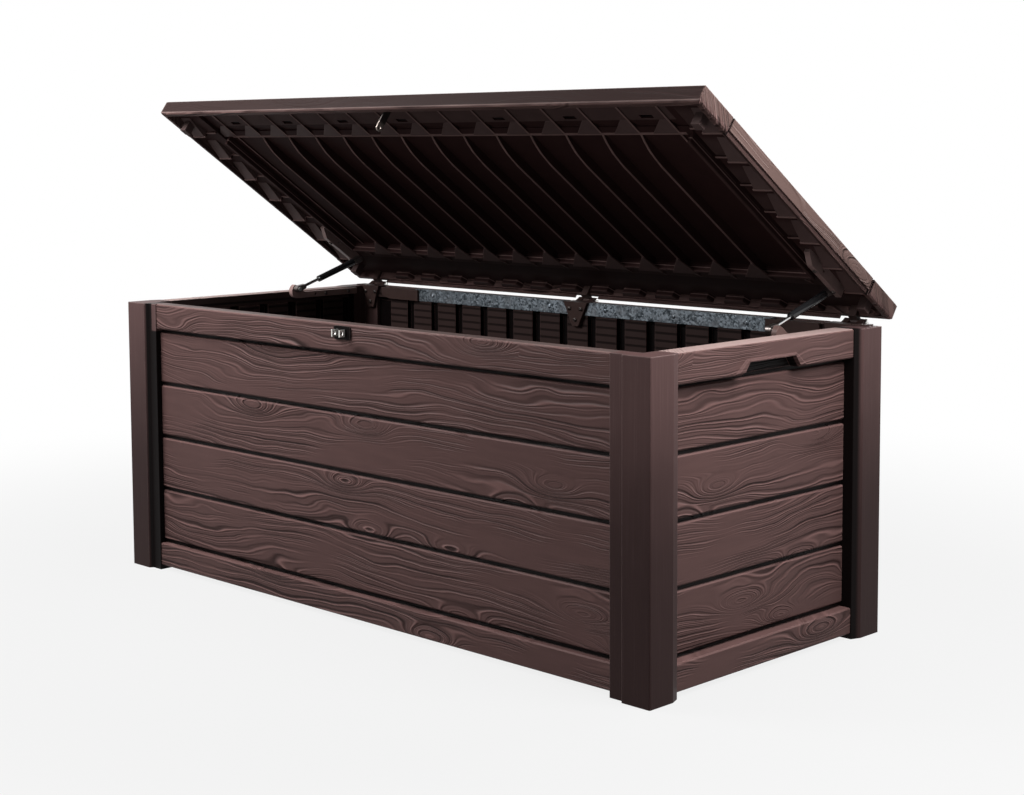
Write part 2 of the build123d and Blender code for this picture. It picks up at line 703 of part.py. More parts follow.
# ---- Lid: ribbed liner ------------------------------------------------------
rib_count = int(side_beam / rib_pitch)
rib_numbers = range(-rib_count, rib_count + 1)
liner_middle = (liner_front + liner_rear) / 2
beam_start = front_beam - front_beam_top
with BuildPart() as lid_liner:
    with BuildSketch(lid_plane.offset(liner_plate_z)):
        with Locations((0, liner_middle)):
            Rectangle(2 * liner_half, liner_rear - liner_front)
    extrude(amount=liner_plate)
    # Thick border under the side and rear boards
    with BuildSketch(lid_plane.offset(border_z)):
        side_border_middle = (side_border + liner_half) / 2
        with Locations((side_border_middle, liner_middle), (-side_border_middle, liner_middle)):
            Rectangle(liner_half - side_border, liner_rear - liner_front)
        with Locations((0, (rear_border + liner_rear) / 2)):
            Rectangle(2 * liner_half, liner_rear - rear_border)
    extrude(amount=border_plate)
    # Beams at the sides and at the rear of the ribbed field
    with BuildSketch(lid_plane.offset(liner_plate_z)):
        with Locations((0, (beam_start + rear_beam + beam_thickness) / 2)):
            Rectangle(2 * (side_beam + beam_thickness), rear_beam + beam_thickness - beam_start)
        with Locations((0, (beam_start + rear_beam) / 2)):
            Rectangle(2 * side_beam, rear_beam - beam_start, mode=Mode.SUBTRACT)
    extrude(amount=beam_bottom - liner_plate_z, taper=beam_draft)
    # Trench and low sloping beam across the front, and the slots before them
    beam_foot = beam_start - front_beam_slope
    with BuildSketch(lid_plane.offset(liner_plate_z)):
        with Locations((0, beam_foot - trench_width / 2)):
            Rectangle(2 * side_border, trench_width)
    extrude(amount=trench_depth, mode=Mode.SUBTRACT)
    with BuildSketch(lid_plane.offset(liner_plate_z)):
        with Locations([((i + 0.5) * rib_pitch, liner_front + slot_setback) for i in slot_bays]):
            Rectangle(slot_length, slot_width)
    extrude(amount=liner_plate, mode=Mode.SUBTRACT)
    with BuildSketch(lid_section(-side_beam - beam_thickness)):
        with BuildLine():
            Polyline(
                (beam_foot, liner_plate_z),
                (beam_start, front_beam_z),
                (front_beam, front_beam_z),
                (front_beam, liner_plate_z),
                close=True,
            )
        make_face()
    extrude(amount=2 * (side_beam + beam_thickness))
    # Shallow front parts of the ribs, and gussets behind the rear beam
    for i in rib_numbers:
        with BuildSketch(lid_section(i * rib_pitch - rib_thickness / 2)):
            with BuildLine():
                Polyline(
                    (liner_front, liner_plate_z),
                    (liner_front, front_beam_z),
                    (beam_start, front_beam_z),
                    (beam_start, liner_plate_z),
                    close=True,
                )
            make_face()
        extrude(amount=rib_thickness)
        with BuildSketch(lid_section(i * rib_pitch - gusset_thickness / 2)):
            with BuildLine():
                beam = rear_beam + beam_thickness / 2
                Polyline(
                    (beam, liner_plate_z),
                    (beam, beam_bottom + gusset_rise),
                    (beam + gusset_run, border_z),
                    (beam + gusset_run, liner_plate_z),
                    close=True,
                )
            make_face()
        extrude(amount=gusset_thickness)
    # Stepped webs along the sides: tall at the skirt, low inwards, clear of the lid's rails
    step_x = liner_half - side_web_tall_width
    for i in range(side_web_count):
        along = liner_front + side_web_setback + i * side_web_pitch
        across = Plane(origin=lid_point(0, along, 0), x_dir=(1, 0, 0), z_dir=-lid_plane.y_dir)
        step_z = skirt_bottom + gusset_rise + side_web_step
        with BuildSketch(across):
            for facing in (-1, 1):
                with Locations((facing * (liner_half + step_x) / 2, border_z)):
                    Rectangle(
                        side_web_tall_width,
                        border_z - skirt_bottom - gusset_rise,
                        align=(Align.CENTER, Align.MAX),
                    )
                if along < -lid_rail_front:
                    with Locations((facing * (side_border + step_x) / 2, border_z)):
                        Rectangle(
                            step_x - side_border, border_z - step_z, align=(Align.CENTER, Align.MAX)
                        )
        extrude(amount=rib_thickness)
    # Rounded stiffening pads along the rear skirt, one in each bay
    with BuildSketch(lid_plane.offset(border_z)):
        for x in [(i + 0.5) * rib_pitch for i in range(-rib_count, rib_count)]:
            with BuildLine():
                Polyline(
                    (x - pad_width / 2, liner_rear),
                    (x - pad_top_width / 2, liner_rear - pad_depth),
                    (x + pad_top_width / 2, liner_rear - pad_depth),
                    (x + pad_width / 2, liner_rear),
                    close=True,
                )
            make_face()
    extrude(amount=skirt_bottom + gusset_rise - border_z)
save(lid_liner, "lid_liner")

# Long ribs of the liner: level with the front beam, then bending down to full depth
with BuildPart() as liner_ribs:
    for i in rib_numbers:
        bottom = rib_bottom if abs(i) < rib_count else front_beam_z
        drop = front_beam_z - bottom
        bend_points = [(front_beam + rib_bend * run, bottom + drop * left) for run, left in rib_bend_steps]
        with BuildSketch(lid_section(i * rib_pitch - rib_thickness / 2)):
            with BuildLine():
                Polyline(
                    (front_beam - rib_overlap, liner_plate_z),
                    (front_beam - rib_overlap, front_beam_z),
                    (front_beam, front_beam_z),
                    *(bend_points if drop else []),
                    (front_beam + rib_bend, bottom),
                    (rear_beam + rib_overlap, bottom),
                    (rear_beam + rib_overlap, liner_plate_z),
                    close=True,
                )
            make_face()
        extrude(amount=rib_thickness)
    # The ends follow the beams
    add(lid_liner.part, mode=Mode.SUBTRACT)
save(liner_ribs, "liner_ribs")

# Four pads on which the closed lid rests on the posts
rest_pad_z = body_height + rest_pad_gap - hinge_z
with BuildPart() as lid_rest_pads:
    with BuildSketch(lid_plane.offset(border_z)):
        for pad_x in (liner_half - rest_pad_inset, rest_pad_inset - liner_half):
            for pad_y in (liner_front + rest_pad_front_inset, liner_rear - rest_pad_rear_inset):
                with Locations((pad_x, pad_y)):
                    Rectangle(rest_pad_width, rest_pad_width)
    extrude(amount=rest_pad_z - border_z)
save(lid_rest_pads, "lid_rest_pads")

# ---- Gas struts -------------------------------------------------------------
upper_pivot = lid_point(0, -upper_pivot_back, upper_pivot_up)
lower_pivot = Vector(0, lower_pivot_y, lower_pivot_z)
strut_span = (upper_pivot - lower_pivot).length
strut_direction = (upper_pivot - lower_pivot).normalized()
cylinder_start = strut_span - eye_neck_length - cylinder_length
for side, facing in (("left", -1), ("right", 1)):
    x = facing * strut_x
    outward = (facing, 0, 0)
    foot = Vector(x, lower_pivot_y, lower_pivot_z)
    head = foot + strut_direction * strut_span

    # Rail on the side wall that carries the lower stud
    with BuildPart() as wall_rail:
        with BuildSketch(Plane.YZ.offset(facing * side_inner_x)):
            with BuildLine():
                front_end = lower_pivot_y - wall_boss_radius
                bottom = wall_rail_top - wall_rail_height
                front_arc = ThreePointArc(
                    (lower_pivot_y, lower_pivot_z + wall_boss_radius),
                    (front_end, lower_pivot_z),
                    (lower_pivot_y, bottom),
                )
                Polyline(
                    front_arc @ 1,
                    (lower_pivot_y + wall_rail_length, bottom),
                    (lower_pivot_y + wall_rail_length, wall_rail_top),
                    (lower_pivot_y + wall_boss_radius + wall_boss_slope, wall_rail_top),
                    (lower_pivot_y + wall_boss_radius, lower_pivot_z + wall_boss_shoulder),
                    front_arc @ 0,
                )
            make_face()
            with Locations((lower_pivot_y + rail_hole_from_end, wall_rail_top - wall_rail_height / 2)):
                Circle(rail_hole / 2, mode=Mode.SUBTRACT)
        extrude(amount=-facing * strut_rail_thickness)
    save(wall_rail, f"wall_rail_{side}")

    # Rail under the lid that carries the upper stud
    with BuildPart() as lid_rail:
        with BuildSketch(lid_section(facing * side_inner_x)):
            with BuildLine():
                Polyline(
                    (-lid_rail_front, border_z),
                    (-lid_rail_front, border_z - lid_rail_nose),
                    (-lid_rail_front + lid_rail_height, lid_rail_bottom),
                    (-lid_rail_rear, lid_rail_bottom),
                    (-lid_rail_rear, border_z),
                    close=True,
                )
            make_face()
            with Locations((-lid_rail_front + rail_hole_from_end, (lid_rail_bottom + border_z) / 2)):
                Circle(rail_hole / 2, mode=Mode.SUBTRACT)
        extrude(amount=-facing * strut_rail_thickness)
    save(lid_rail, f"lid_rail_{side}")

    # Lower stud: it carries the rod's eye, and its head keeps the eye on
    with BuildPart() as lower_stud:
        with BuildSketch(Plane.YZ.offset(facing * rail_inner_x)):
            with Locations((lower_pivot_y, lower_pivot_z)):
                Circle(stud_diameter / 2)
        extrude(amount=-facing * (strut_to_rail + eye_width / 2 + stud_clearance))
        with BuildSketch(Plane.YZ.offset(facing * (strut_x - eye_width / 2 - stud_clearance))):
            with Locations((lower_pivot_y, lower_pivot_z)):
                RegularPolygon(stud_head_diameter / 2, stud_head_sides)
        extrude(amount=-facing * stud_head_thickness)
    save(lower_stud, f"lower_stud_{side}")

    # Upper stud: its end lies against the cylinder's eye
    with BuildPart() as upper_stud:
        with BuildSketch(lid_section(facing * rail_inner_x)):
            with Locations((-upper_pivot_back, upper_pivot_up)):
                Circle(stud_diameter / 2)
        extrude(amount=-facing * (strut_to_rail - eye_width / 2 - knuckle_clearance))
    save(upper_stud, f"upper_stud_{side}")

    strut_axis = Plane(origin=foot, x_dir=outward, z_dir=strut_direction)
    # Eye on the rod's lower end: round, with a tapering neck
    with BuildPart() as rod_eye:
        with BuildSketch(Plane(origin=foot, x_dir=strut_direction, z_dir=outward)):
            Circle(eye_diameter / 2)
            with BuildLine():
                Polyline(
                    (0, -eye_diameter / 2),
                    (eye_neck_length, -eye_neck / 2),
                    (eye_neck_length, eye_neck / 2),
                    (0, eye_diameter / 2),
                    close=True,
                )
            make_face()
            Circle(stud_diameter / 2 + stud_clearance, mode=Mode.SUBTRACT)
        extrude(amount=eye_width / 2, both=True)
    save(rod_eye, f"rod_eye_{side}")

    with BuildPart() as strut_rod:
        with BuildSketch(strut_axis.offset(eye_neck_length)):
            Circle(rod_diameter / 2)
        extrude(amount=cylinder_start + rod_engagement - eye_neck_length)
    save(strut_rod, f"strut_rod_{side}")

    with BuildPart() as strut_cylinder:
        with BuildSketch(strut_axis.offset(cylinder_start)):
            Circle(cylinder_diameter / 2)
            Circle(rod_diameter / 2 + rod_clearance, mode=Mode.SUBTRACT)
        extrude(amount=cylinder_length - cylinder_end_wall)
        with BuildSketch(strut_axis.offset(cylinder_start + cylinder_length - cylinder_end_wall)):
            Circle(cylinder_diameter / 2)
        extrude(amount=cylinder_end_wall)
    save(strut_cylinder, f"strut_cylinder_{side}")

    # Eye on the cylinder's upper end, beside the upper stud
    with BuildPart() as cylinder_eye:
        with BuildSketch(Plane(origin=head, x_dir=strut_direction, z_dir=outward)):
            Circle(eye_diameter / 2)
            with BuildLine():
                Polyline(
                    (0, -eye_diameter / 2),
                    (-eye_neck_length, -eye_neck / 2),
                    (-eye_neck_length, eye_neck / 2),
                    (0, eye_diameter / 2),
                    close=True,
                )
            make_face()
        extrude(amount=eye_width / 2, both=True)
    save(cylinder_eye, f"cylinder_eye_{side}")

# ---- Lock: plate and staple on the front rail, hasp under the lid ----------
lock_plane = Plane(origin=(lock_x, lock_face_y, lock_z), x_dir=(1, 0, 0), z_dir=(0, -1, 0))
with BuildPart() as lock_plate:
    with BuildSketch(lock_plane):
        RectangleRounded(lock_plate_width, lock_plate_height, lock_plate_corner)
    extrude(amount=lock_plate_thickness)
save(lock_plate, "lock_plate")

with BuildPart() as lock_staple:
    with BuildSketch(lock_plane.offset(lock_plate_thickness)):
        Rectangle(ear_spacing + ear_thickness, ear_height)
    extrude(amount=staple_base_thickness)
    with BuildSketch(lock_plane.offset(lock_plate_thickness)):
        with Locations((-ear_spacing / 2, 0), (ear_spacing / 2, 0)):
            Rectangle(ear_thickness, ear_height)
    extrude(amount=ear_reach)
    with BuildSketch(Plane.YZ.offset(lock_x)):
        with Locations((ear_hole_y, lock_z)):
            Circle(ear_hole / 2)
    extrude(amount=ear_spacing, both=True, mode=Mode.SUBTRACT)
save(lock_staple, "lock_staple")

# The hasp's eye drops between the ears when the lid is closed
hasp_hole_up = lock_z - hinge_z
with BuildPart() as lid_hasp:
    with BuildSketch(lid_section(lock_x - hasp_thickness / 2)):
        with BuildLine():
            left = hasp_along - hasp_width / 2
            right = hasp_along + hasp_width / 2
            arc = ThreePointArc(
                (left, hasp_hole_up), (hasp_along, hasp_hole_up - hasp_width / 2), (right, hasp_hole_up)
            )
            Polyline(arc @ 1, (right, liner_plate_z), (left, liner_plate_z), arc @ 0)
        make_face()
        with Locations((hasp_along, hasp_hole_up)):
            Circle(hasp_hole / 2, mode=Mode.SUBTRACT)
    extrude(amount=hasp_thickness)
    with BuildSketch(lid_plane.offset(liner_plate_z)):
        with Locations((lock_x, hasp_along)):
            Rectangle(hasp_foot_length, hasp_width)
    extrude(amount=-hasp_foot_thickness)
save(lid_hasp, "lid_hasp")
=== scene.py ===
import math

import bpy
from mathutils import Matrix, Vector


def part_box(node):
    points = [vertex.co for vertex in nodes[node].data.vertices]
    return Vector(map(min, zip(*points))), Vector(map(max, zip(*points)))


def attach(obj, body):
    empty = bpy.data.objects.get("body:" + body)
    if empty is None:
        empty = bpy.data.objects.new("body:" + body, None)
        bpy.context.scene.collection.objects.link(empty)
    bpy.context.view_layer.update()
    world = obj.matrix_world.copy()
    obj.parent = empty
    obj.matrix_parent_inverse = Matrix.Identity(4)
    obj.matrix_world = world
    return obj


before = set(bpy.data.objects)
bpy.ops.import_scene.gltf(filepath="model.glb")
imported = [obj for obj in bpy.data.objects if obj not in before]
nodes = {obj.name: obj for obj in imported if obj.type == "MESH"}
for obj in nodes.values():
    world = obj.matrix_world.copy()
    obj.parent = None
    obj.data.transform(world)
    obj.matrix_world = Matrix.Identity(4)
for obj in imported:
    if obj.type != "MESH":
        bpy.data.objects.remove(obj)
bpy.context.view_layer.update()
bpy.ops.object.select_all(action="DESELECT")

# ---- Walls ------------------------------------------------------------------------
# Four double-walled polypropylene panels, blow moulded with four mock planks between
# two rails. Their ends slide down slots in the corner posts. The outside is embossed
# with timber grain, the inside carries rows of stiffening pillows.
front_face_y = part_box("post_front_left")[0].y
rear_face_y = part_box("post_rear_left")[1].y
side_face_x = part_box("post_front_right")[1].x
wall_top = 0.589
planks_bottom = 0.064
planks_top = 0.530
plank_count = 4
plank_pitch = (planks_top - planks_bottom) / plank_count
slat_pitch = 1 / 62
pillow_depth = 0.010
wall_brown = (0.084, 0.047, 0.044)
# Painted highlight colour, for the lit top faces, the lid's lip and the lock plate's rim
highlight_pink = (0.30, 0.215, 0.20)
# Near-black painted shade, for grooves, gaps, recesses and hollows
groove_shade = (0.0035, 0.0022, 0.0022)
# Painted shade on the walls' inner skin, inside the box
inside_shade = (0.040, 0.025, 0.023)


def add_node(tree, kind, *inputs, **settings):
    """Add a shader node, set its options, and set or wire its inputs in their order."""
    made = tree.nodes.new("ShaderNode" + kind)
    for key, value in settings.items():
        setattr(made, key, value)
    for socket, value in zip(made.inputs, inputs):
        if isinstance(value, bpy.types.NodeSocket):
            tree.links.new(value, socket)
        elif value is not None:
            socket.default_value = value
    return made


def calc(tree, operation, *values):
    """Result of one Math node."""
    return add_node(tree, "Math", *values, operation=operation).outputs[0]


def times(tree, first, second):
    """Product of two numbers or masks."""
    return calc(tree, "MULTIPLY", first, second)


def inverse(tree, mask):
    """1 where a mask is 0, and 0 where it is 1."""
    return calc(tree, "SUBTRACT", 1.0, mask)


def ramp(tree, value, low, high):
    """0 below one value, 1 above the other, and a smooth step between them."""
    made = add_node(tree, "MapRange", value, low, high, interpolation_type="SMOOTHSTEP")
    return made.outputs["Result"]


def band(tree, value, middle, half, soft):
    """1 within half of the middle, falling to 0 over the soft width."""
    off = calc(tree, "ABSOLUTE", calc(tree, "SUBTRACT", value, middle))
    return inverse(tree, ramp(tree, off, half, half + soft))


def mixed(tree, share, first, second, blend="MIX"):
    """Colour between two others."""
    with_alpha = [(*c, 1) if isinstance(c, tuple) else c for c in (first, second)]
    return add_node(tree, "MixRGB", share, *with_alpha, blend_type=blend).outputs[0]


def shade(colour, factor):
    """A colour made darker or lighter."""
    return tuple(min(1.0, factor * c) for c in colour)


def noise(tree, place, scale, detail=2.0, roughness=0.5):
    """Noise from 0 to 1."""
    made = add_node(tree, "TexNoise", place)
    made.inputs["Scale"].default_value = scale
    made.inputs["Detail"].default_value = detail
    made.inputs["Roughness"].default_value = roughness
    return made.outputs["Fac"]


def combined(tree, x, y, z):
    """Vector made of three numbers."""
    return add_node(tree, "CombineXYZ", x, y, z).outputs[0]


def new_material(name):
    """Material with a Principled shader, its node tree and that shader."""
    made = bpy.data.materials.new(name)
    made.use_nodes = True
    return made, made.node_tree, made.node_tree.nodes["Principled BSDF"]


def wire_finish(tree, shader, tint, roughness, height, strength, depth, normal=None):
    """Wire the colour, the roughness and the relief of a Principled shader."""
    tree.links.new(tint, shader.inputs["Base Color"])
    tree.links.new(roughness, shader.inputs["Roughness"])
    bump = add_node(tree, "Bump", strength, depth)
    tree.links.new(height, bump.inputs["Height"])
    if normal:
        tree.links.new(normal, bump.inputs["Normal"])
    tree.links.new(bump.outputs[0], shader.inputs["Normal"])


def paint(names, material):
    """Give CAD nodes one material."""
    for name in names:
        nodes[name].data.materials.clear()
        nodes[name].data.materials.append(material)


def object_place(tree, turn=(0, 0, 0), shift=(0, 0, 0)):
    """Object coordinates, turned and then shifted, and their three parts."""
    place = add_node(tree, "TexCoord").outputs["Object"]
    turned = add_node(tree, "Mapping", place, shift, turn).outputs[0]
    split = add_node(tree, "SeparateXYZ", turned)
    return turned, split.outputs[0], split.outputs[1], split.outputs[2]


def edge_wear(tree, radius):
    """Normal rounded at the edges, and a mask of the places where it turns."""
    rounded = add_node(tree, "Bevel", radius, samples=4).outputs[0]
    flat = add_node(tree, "NewGeometry").outputs["Normal"]
    same = add_node(tree, "VectorMath", rounded, flat, operation="DOT_PRODUCT").outputs["Value"]
    turned = ramp(tree, calc(tree, "SUBTRACT", 1.0, same), 0.01, 0.12)
    return rounded, turned


def grain_lines(tree, along, across, board, spacing):
    """Embossed timber grain: ridges and the hollows beside them, each from 0 to 1."""
    seed = times(tree, board, 3.71)
    slow = combined(tree, times(tree, along, 1.7), times(tree, across, 6.0), seed)
    quick = combined(tree, times(tree, along, 7.0), times(tree, across, 22.0), seed)
    wander = noise(tree, slow, 1.0, 1.2)
    ripple = noise(tree, quick, 1.0, 1.5)
    # Knots: lines close into eyes where a bump is added to the even run of the grain
    knot_along = calc(tree, "ADD", times(tree, along, 2.6), seed)
    knot_across = calc(tree, "MULTIPLY_ADD", across, 8.6, times(tree, seed, 1.37))
    knot_place = combined(tree, knot_along, knot_across, 0.0)
    cells = add_node(tree, "TexVoronoi", knot_place, voronoi_dimensions="2D")
    cells.inputs["Scale"].default_value = 1.0
    cells.inputs["Randomness"].default_value = 0.85
    squared = calc(tree, "POWER", cells.outputs["Distance"], 2.0)
    near = calc(tree, "EXPONENT", times(tree, squared, -40.0))
    chosen = add_node(tree, "SeparateColor", cells.outputs["Color"]).outputs[0]
    knot = times(tree, near, ramp(tree, chosen, 0.30, 0.45))
    level = times(tree, across, 1.0 / spacing)
    level = calc(tree, "MULTIPLY_ADD", wander, 9.0, level)
    level = calc(tree, "MULTIPLY_ADD", ripple, 1.6, level)
    level = calc(tree, "MULTIPLY_ADD", knot, 3.4, level)
    # Two sets of lines, broad and fine; each line has its own strength and fades in places
    ridges, hollows = 0.0, 0.0
    for count, width, share in ((1.0, 0.13, 1.0), (2.0, 0.15, 0.45)):
        fade = ramp(tree, noise(tree, quick, 0.36 * count, 1.0), 0.38, 0.58)
        counted = times(tree, level, count)
        phase = calc(tree, "SUBTRACT", calc(tree, "FRACT", counted), 0.5)
        line_number = calc(tree, "FLOOR", counted)
        own = add_node(tree, "TexWhiteNoise", None, line_number, noise_dimensions="1D")
        strength = calc(tree, "MULTIPLY_ADD", own.outputs["Value"], 1.2, 0.2)
        fade = times(tree, fade, strength)
        lines = []
        for middle in (0.0, 0.24):
            off = calc(tree, "DIVIDE", calc(tree, "SUBTRACT", phase, middle), width)
            line = calc(tree, "EXPONENT", times(tree, times(tree, off, off), -1.0))
            lines.append(times(tree, line, fade))
        ridges = calc(tree, "MULTIPLY_ADD", lines[0], share, ridges)
        hollows = calc(tree, "MULTIPLY_ADD", lines[1], share, hollows)
    return ridges, hollows


def timber_resin(tree, shader, colour, place, masks, gloss):
    """Finish of a mock-timber moulding: grain, faint mottling, worn edges, painted highlights
    on the grain's ridges and painted shade in its hollows.

    The place is given along and across the boards, with the board's number. The masks say
    where the moulding is smooth and where its top edges get a painted highlight, and which
    tones lie on it.
    """
    along, across, board = place
    ridges, hollows = grain_lines(tree, along, across, board, spacing=0.0165)
    embossed = inverse(tree, masks["smooth"])
    ridges = times(tree, ridges, embossed)
    hollows = times(tree, hollows, embossed)
    streaked = combined(tree, times(tree, along, 9.0), times(tree, across, 60.0), board)
    mottle = noise(tree, streaked, 1.0, 4.0, 0.6)
    flat_place = combined(tree, along, across, 0.0)
    speck = noise(tree, flat_place, 900.0, 2.0)
    tint = mixed(tree, mottle, shade(colour, 0.80), shade(colour, 1.20))
    # Painted highlight on the grain's ridges and painted shade in its hollows
    tint = mixed(tree, times(tree, ridges, 0.60), tint, shade(colour, 2.5))
    tint = mixed(tree, times(tree, hollows, 0.75), tint, shade(colour, 0.22))
    for mask, tone in masks["tones"]:
        tint = mixed(tree, mask, tint, tone)
    # Pale worn edges, with a painted highlight along the top edges where that mask is given
    rounded, turned = edge_wear(tree, 0.0022)
    patchy = noise(tree, flat_place, 34.0, 2.0)
    worn = calc(tree, "MULTIPLY_ADD", patchy, 0.5, 0.15)
    if "top_edge_highlight" in masks:
        worn = calc(tree, "MULTIPLY_ADD", masks["top_edge_highlight"], 0.6, worn)
    tint = mixed(tree, times(tree, turned, worn), tint, shade(colour, 2.6))
    rough = calc(tree, "MULTIPLY_ADD", speck, 0.14, 0.42)
    rough = calc(tree, "MULTIPLY_ADD", hollows, 0.12, rough)
    shader.inputs["Specular IOR Level"].default_value = gloss
    height = calc(tree, "MULTIPLY_ADD", hollows, -0.8, times(tree, speck, 0.05))
    height = calc(tree, "ADD", ridges, height)
    wire_finish(tree, shader, tint, rough, height, 1.0, 0.0023, rounded)


# (material, panels, is it a long wall, and how far behind the posts' faces lie
# the first shade of its grooves and its inner skin)
for name, panels, is_long, groove_start, skin_recess in (
    ("front_wall_resin", ["front_panel"], True, 0.0216, 0.032),
    ("rear_wall_resin", ["rear_panel"], True, 0.0061, 0.016),
    ("side_wall_resin", ["left_panel", "right_panel"], False, 0.0316, 0.042),
):
    resin, tree, shader = new_material(name)
    x, y, z = object_place(tree)[1:]
    if name == "front_wall_resin":
        recess = calc(tree, "SUBTRACT", y, front_face_y)
    elif name == "rear_wall_resin":
        recess = calc(tree, "SUBTRACT", rear_face_y, y)
    else:
        recess = calc(tree, "SUBTRACT", side_face_x, calc(tree, "ABSOLUTE", x))
    plank = calc(tree, "DIVIDE", calc(tree, "SUBTRACT", z, planks_bottom), plank_pitch)
    groove = ramp(tree, recess, groove_start, groove_start + 0.0016)
    # The top faces, the inside with its pillows, and the thin slats across the pillows
    on_top = ramp(tree, z, wall_top - 0.0018, wall_top - 0.0008)
    behind_skin = ramp(tree, recess, skin_recess - 0.001, skin_recess)
    inner = times(tree, behind_skin, inverse(tree, on_top))
    slat = calc(tree, "FRACT", times(tree, z, 1 / slat_pitch))
    slats = times(tree, band(tree, slat, 0.5, 0.10, 0.12), times(tree, inner, 0.75))
    pillow_face = skin_recess + pillow_depth
    on_pillow = ramp(tree, recess, pillow_face - 0.0020, pillow_face - 0.0012)
    pillow_gap = times(tree, inner, inverse(tree, on_pillow))
    # A painted highlight on the upper edge of each plank, and painted shade on the ledge over the
    # planks
    step = calc(tree, "FRACT", plank)
    upper_edge = times(tree, band(tree, step, 0.955, 0.010, 0.004), inverse(tree, groove))
    above_planks = ramp(tree, z, planks_top + 0.002, planks_top + 0.003)
    low_relief = times(tree, above_planks, ramp(tree, recess, 0.014, 0.016))
    # Painted highlights on tops and plank edges; painted shade in grooves, ledge, skin, slats, gaps
    masks = {
        "smooth": inner,
        "top_edge_highlight": ramp(tree, z, wall_top - 0.005, wall_top - 0.004),
        "tones": [
            (times(tree, upper_edge, 0.30), shade(wall_brown, 2.4)),
            (groove, groove_shade),
            (low_relief, groove_shade),
            (inner, inside_shade),
            (slats, groove_shade),
            (pillow_gap, groove_shade),
            (times(tree, on_top, 0.25 if is_long else 0.9), highlight_pink),
        ],
    }
    along = x if is_long else calc(tree, "MULTIPLY_ADD", x, 0.9, y)
    place = (along, z, calc(tree, "FLOOR", plank))
    timber_resin(tree, shader, wall_brown, place, masks, gloss=0.06)
    paint(panels, resin)

# ---- Rear planks ----------------------------------------------------------------------
# The rear wall's four mock planks, moulded of the same polypropylene as low bevelled
# panels that stand proud of its skin between the rails. The skin between them is painted in shade.
rear_plank_half = 0.6635
rear_plank_gap = 0.008
rear_plank_root = rear_face_y - 0.0095
rear_plank_face = rear_face_y - 0.0055
planks = []
for i in range(plank_count):
    middle = (0, (rear_plank_root + rear_plank_face) / 2, planks_bottom + (i + 0.5) * plank_pitch)
    size = (2 * rear_plank_half, rear_plank_face - rear_plank_root, plank_pitch - rear_plank_gap)
    bpy.ops.mesh.primitive_cube_add(size=1, location=middle, scale=size)
    bpy.ops.object.transform_apply(location=True, rotation=True, scale=True)
    bpy.ops.object.mode_set(mode="EDIT")
    bpy.ops.mesh.select_all(action="SELECT")
    bpy.ops.mesh.bevel(offset=0.0018, segments=2)
    bpy.ops.object.mode_set(mode="OBJECT")
    planks.append(bpy.context.object)
for plank in planks:
    plank.select_set(True)
bpy.context.view_layer.objects.active = planks[0]
bpy.ops.object.join()
rear_planks = bpy.context.object
rear_planks.name = "rear_planks"
bpy.ops.object.shade_smooth_by_angle(angle=math.radians(35))
bpy.ops.object.select_all(action="DESELECT")
rear_planks.data.materials.clear()
rear_planks.data.materials.append(bpy.data.materials["rear_wall_resin"])
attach(rear_planks, "base")

# ---- Camera -------------------------------------------------------------------------
# A long lens stands off the box's front right corner, at the height of the open lid, and
# looks slightly down. The picture is shifted as well, so the uprights stay nearly upright.
bpy.ops.object.camera_add(location=(2.6621, -2.5738, 0.9432))
camera = bpy.context.object
camera.name = "camera"
camera.rotation_euler = (math.radians(90 - 5.07), math.radians(0.269), math.radians(44.897))
camera.data.lens = 63.57
camera.data.sensor_width = 36
camera.data.shift_x = 0.0008
camera.data.shift_y = -0.0952
bpy.context.scene.camera = camera
bpy.ops.object.select_all(action="DESELECT")

# ---- Corner posts -------------------------------------------------------------------
# Four angle-shaped polypropylene posts that the panels slide into. Their faces are
# nearly smooth, with a faint upright grain, and step back in a shaded strip by the walls.
post_brown = (0.047, 0.026, 0.025)
post_wear_and_highlight = (0.20, 0.14, 0.135)
post_flat_x = 0.062
post_flat_y = 0.060
rail_overlap = 0.080

resin, tree, shader = new_material("post_resin")
place, x, y, z = object_place(tree)
from_side = calc(tree, "SUBTRACT", side_face_x, calc(tree, "ABSOLUTE", x))
from_front = calc(tree, "SUBTRACT", y, front_face_y)
from_rear = calc(tree, "SUBTRACT", rear_face_y, y)
round_corner = calc(tree, "ADD", x, y)
streak_place = combined(tree, times(tree, round_corner, 260.0), times(tree, z, 5.0), 0.0)
streaks = noise(tree, streak_place, 1.0, 3.0, 0.6)
broad_place = combined(tree, times(tree, round_corner, 30.0), times(tree, z, 2.0), 4.0)
broad = noise(tree, broad_place, 1.0, 2.0)
speck = noise(tree, place, 900.0, 2.0)
tint = mixed(tree, broad, shade(post_brown, 0.88), shade(post_brown, 1.12))
tint = mixed(tree, times(tree, ramp(tree, streaks, 0.5, 0.75), 0.2), tint, (0.095, 0.060, 0.058))
# Painted light: the upper part is painted paler and the foot darker, as light falls from above
lit_from_above = calc(tree, "MULTIPLY_ADD", noise(tree, place, 9.0, 3.0), 0.16, z)
lit_from_above = ramp(tree, lit_from_above, 0.27, 0.70)
shaded_foot = mixed(tree, 1.0, tint, (0.56, 0.54, 0.54), "MULTIPLY")
lit_top = mixed(tree, 1.0, tint, (1.55, 1.6, 1.6), "MULTIPLY")
tint = mixed(tree, lit_from_above, shaded_foot, lit_top)
rounded, turned = edge_wear(tree, 0.0025)
# Pale worn edges, with a painted highlight along the edges at the top
worn = calc(tree, "MULTIPLY_ADD", noise(tree, place, 30.0), 0.5, 0.2)
worn = calc(tree, "MULTIPLY_ADD", ramp(tree, z, wall_top - 0.005, wall_top - 0.004), 0.6, worn)
tint = mixed(tree, times(tree, turned, worn), tint, post_wear_and_highlight)
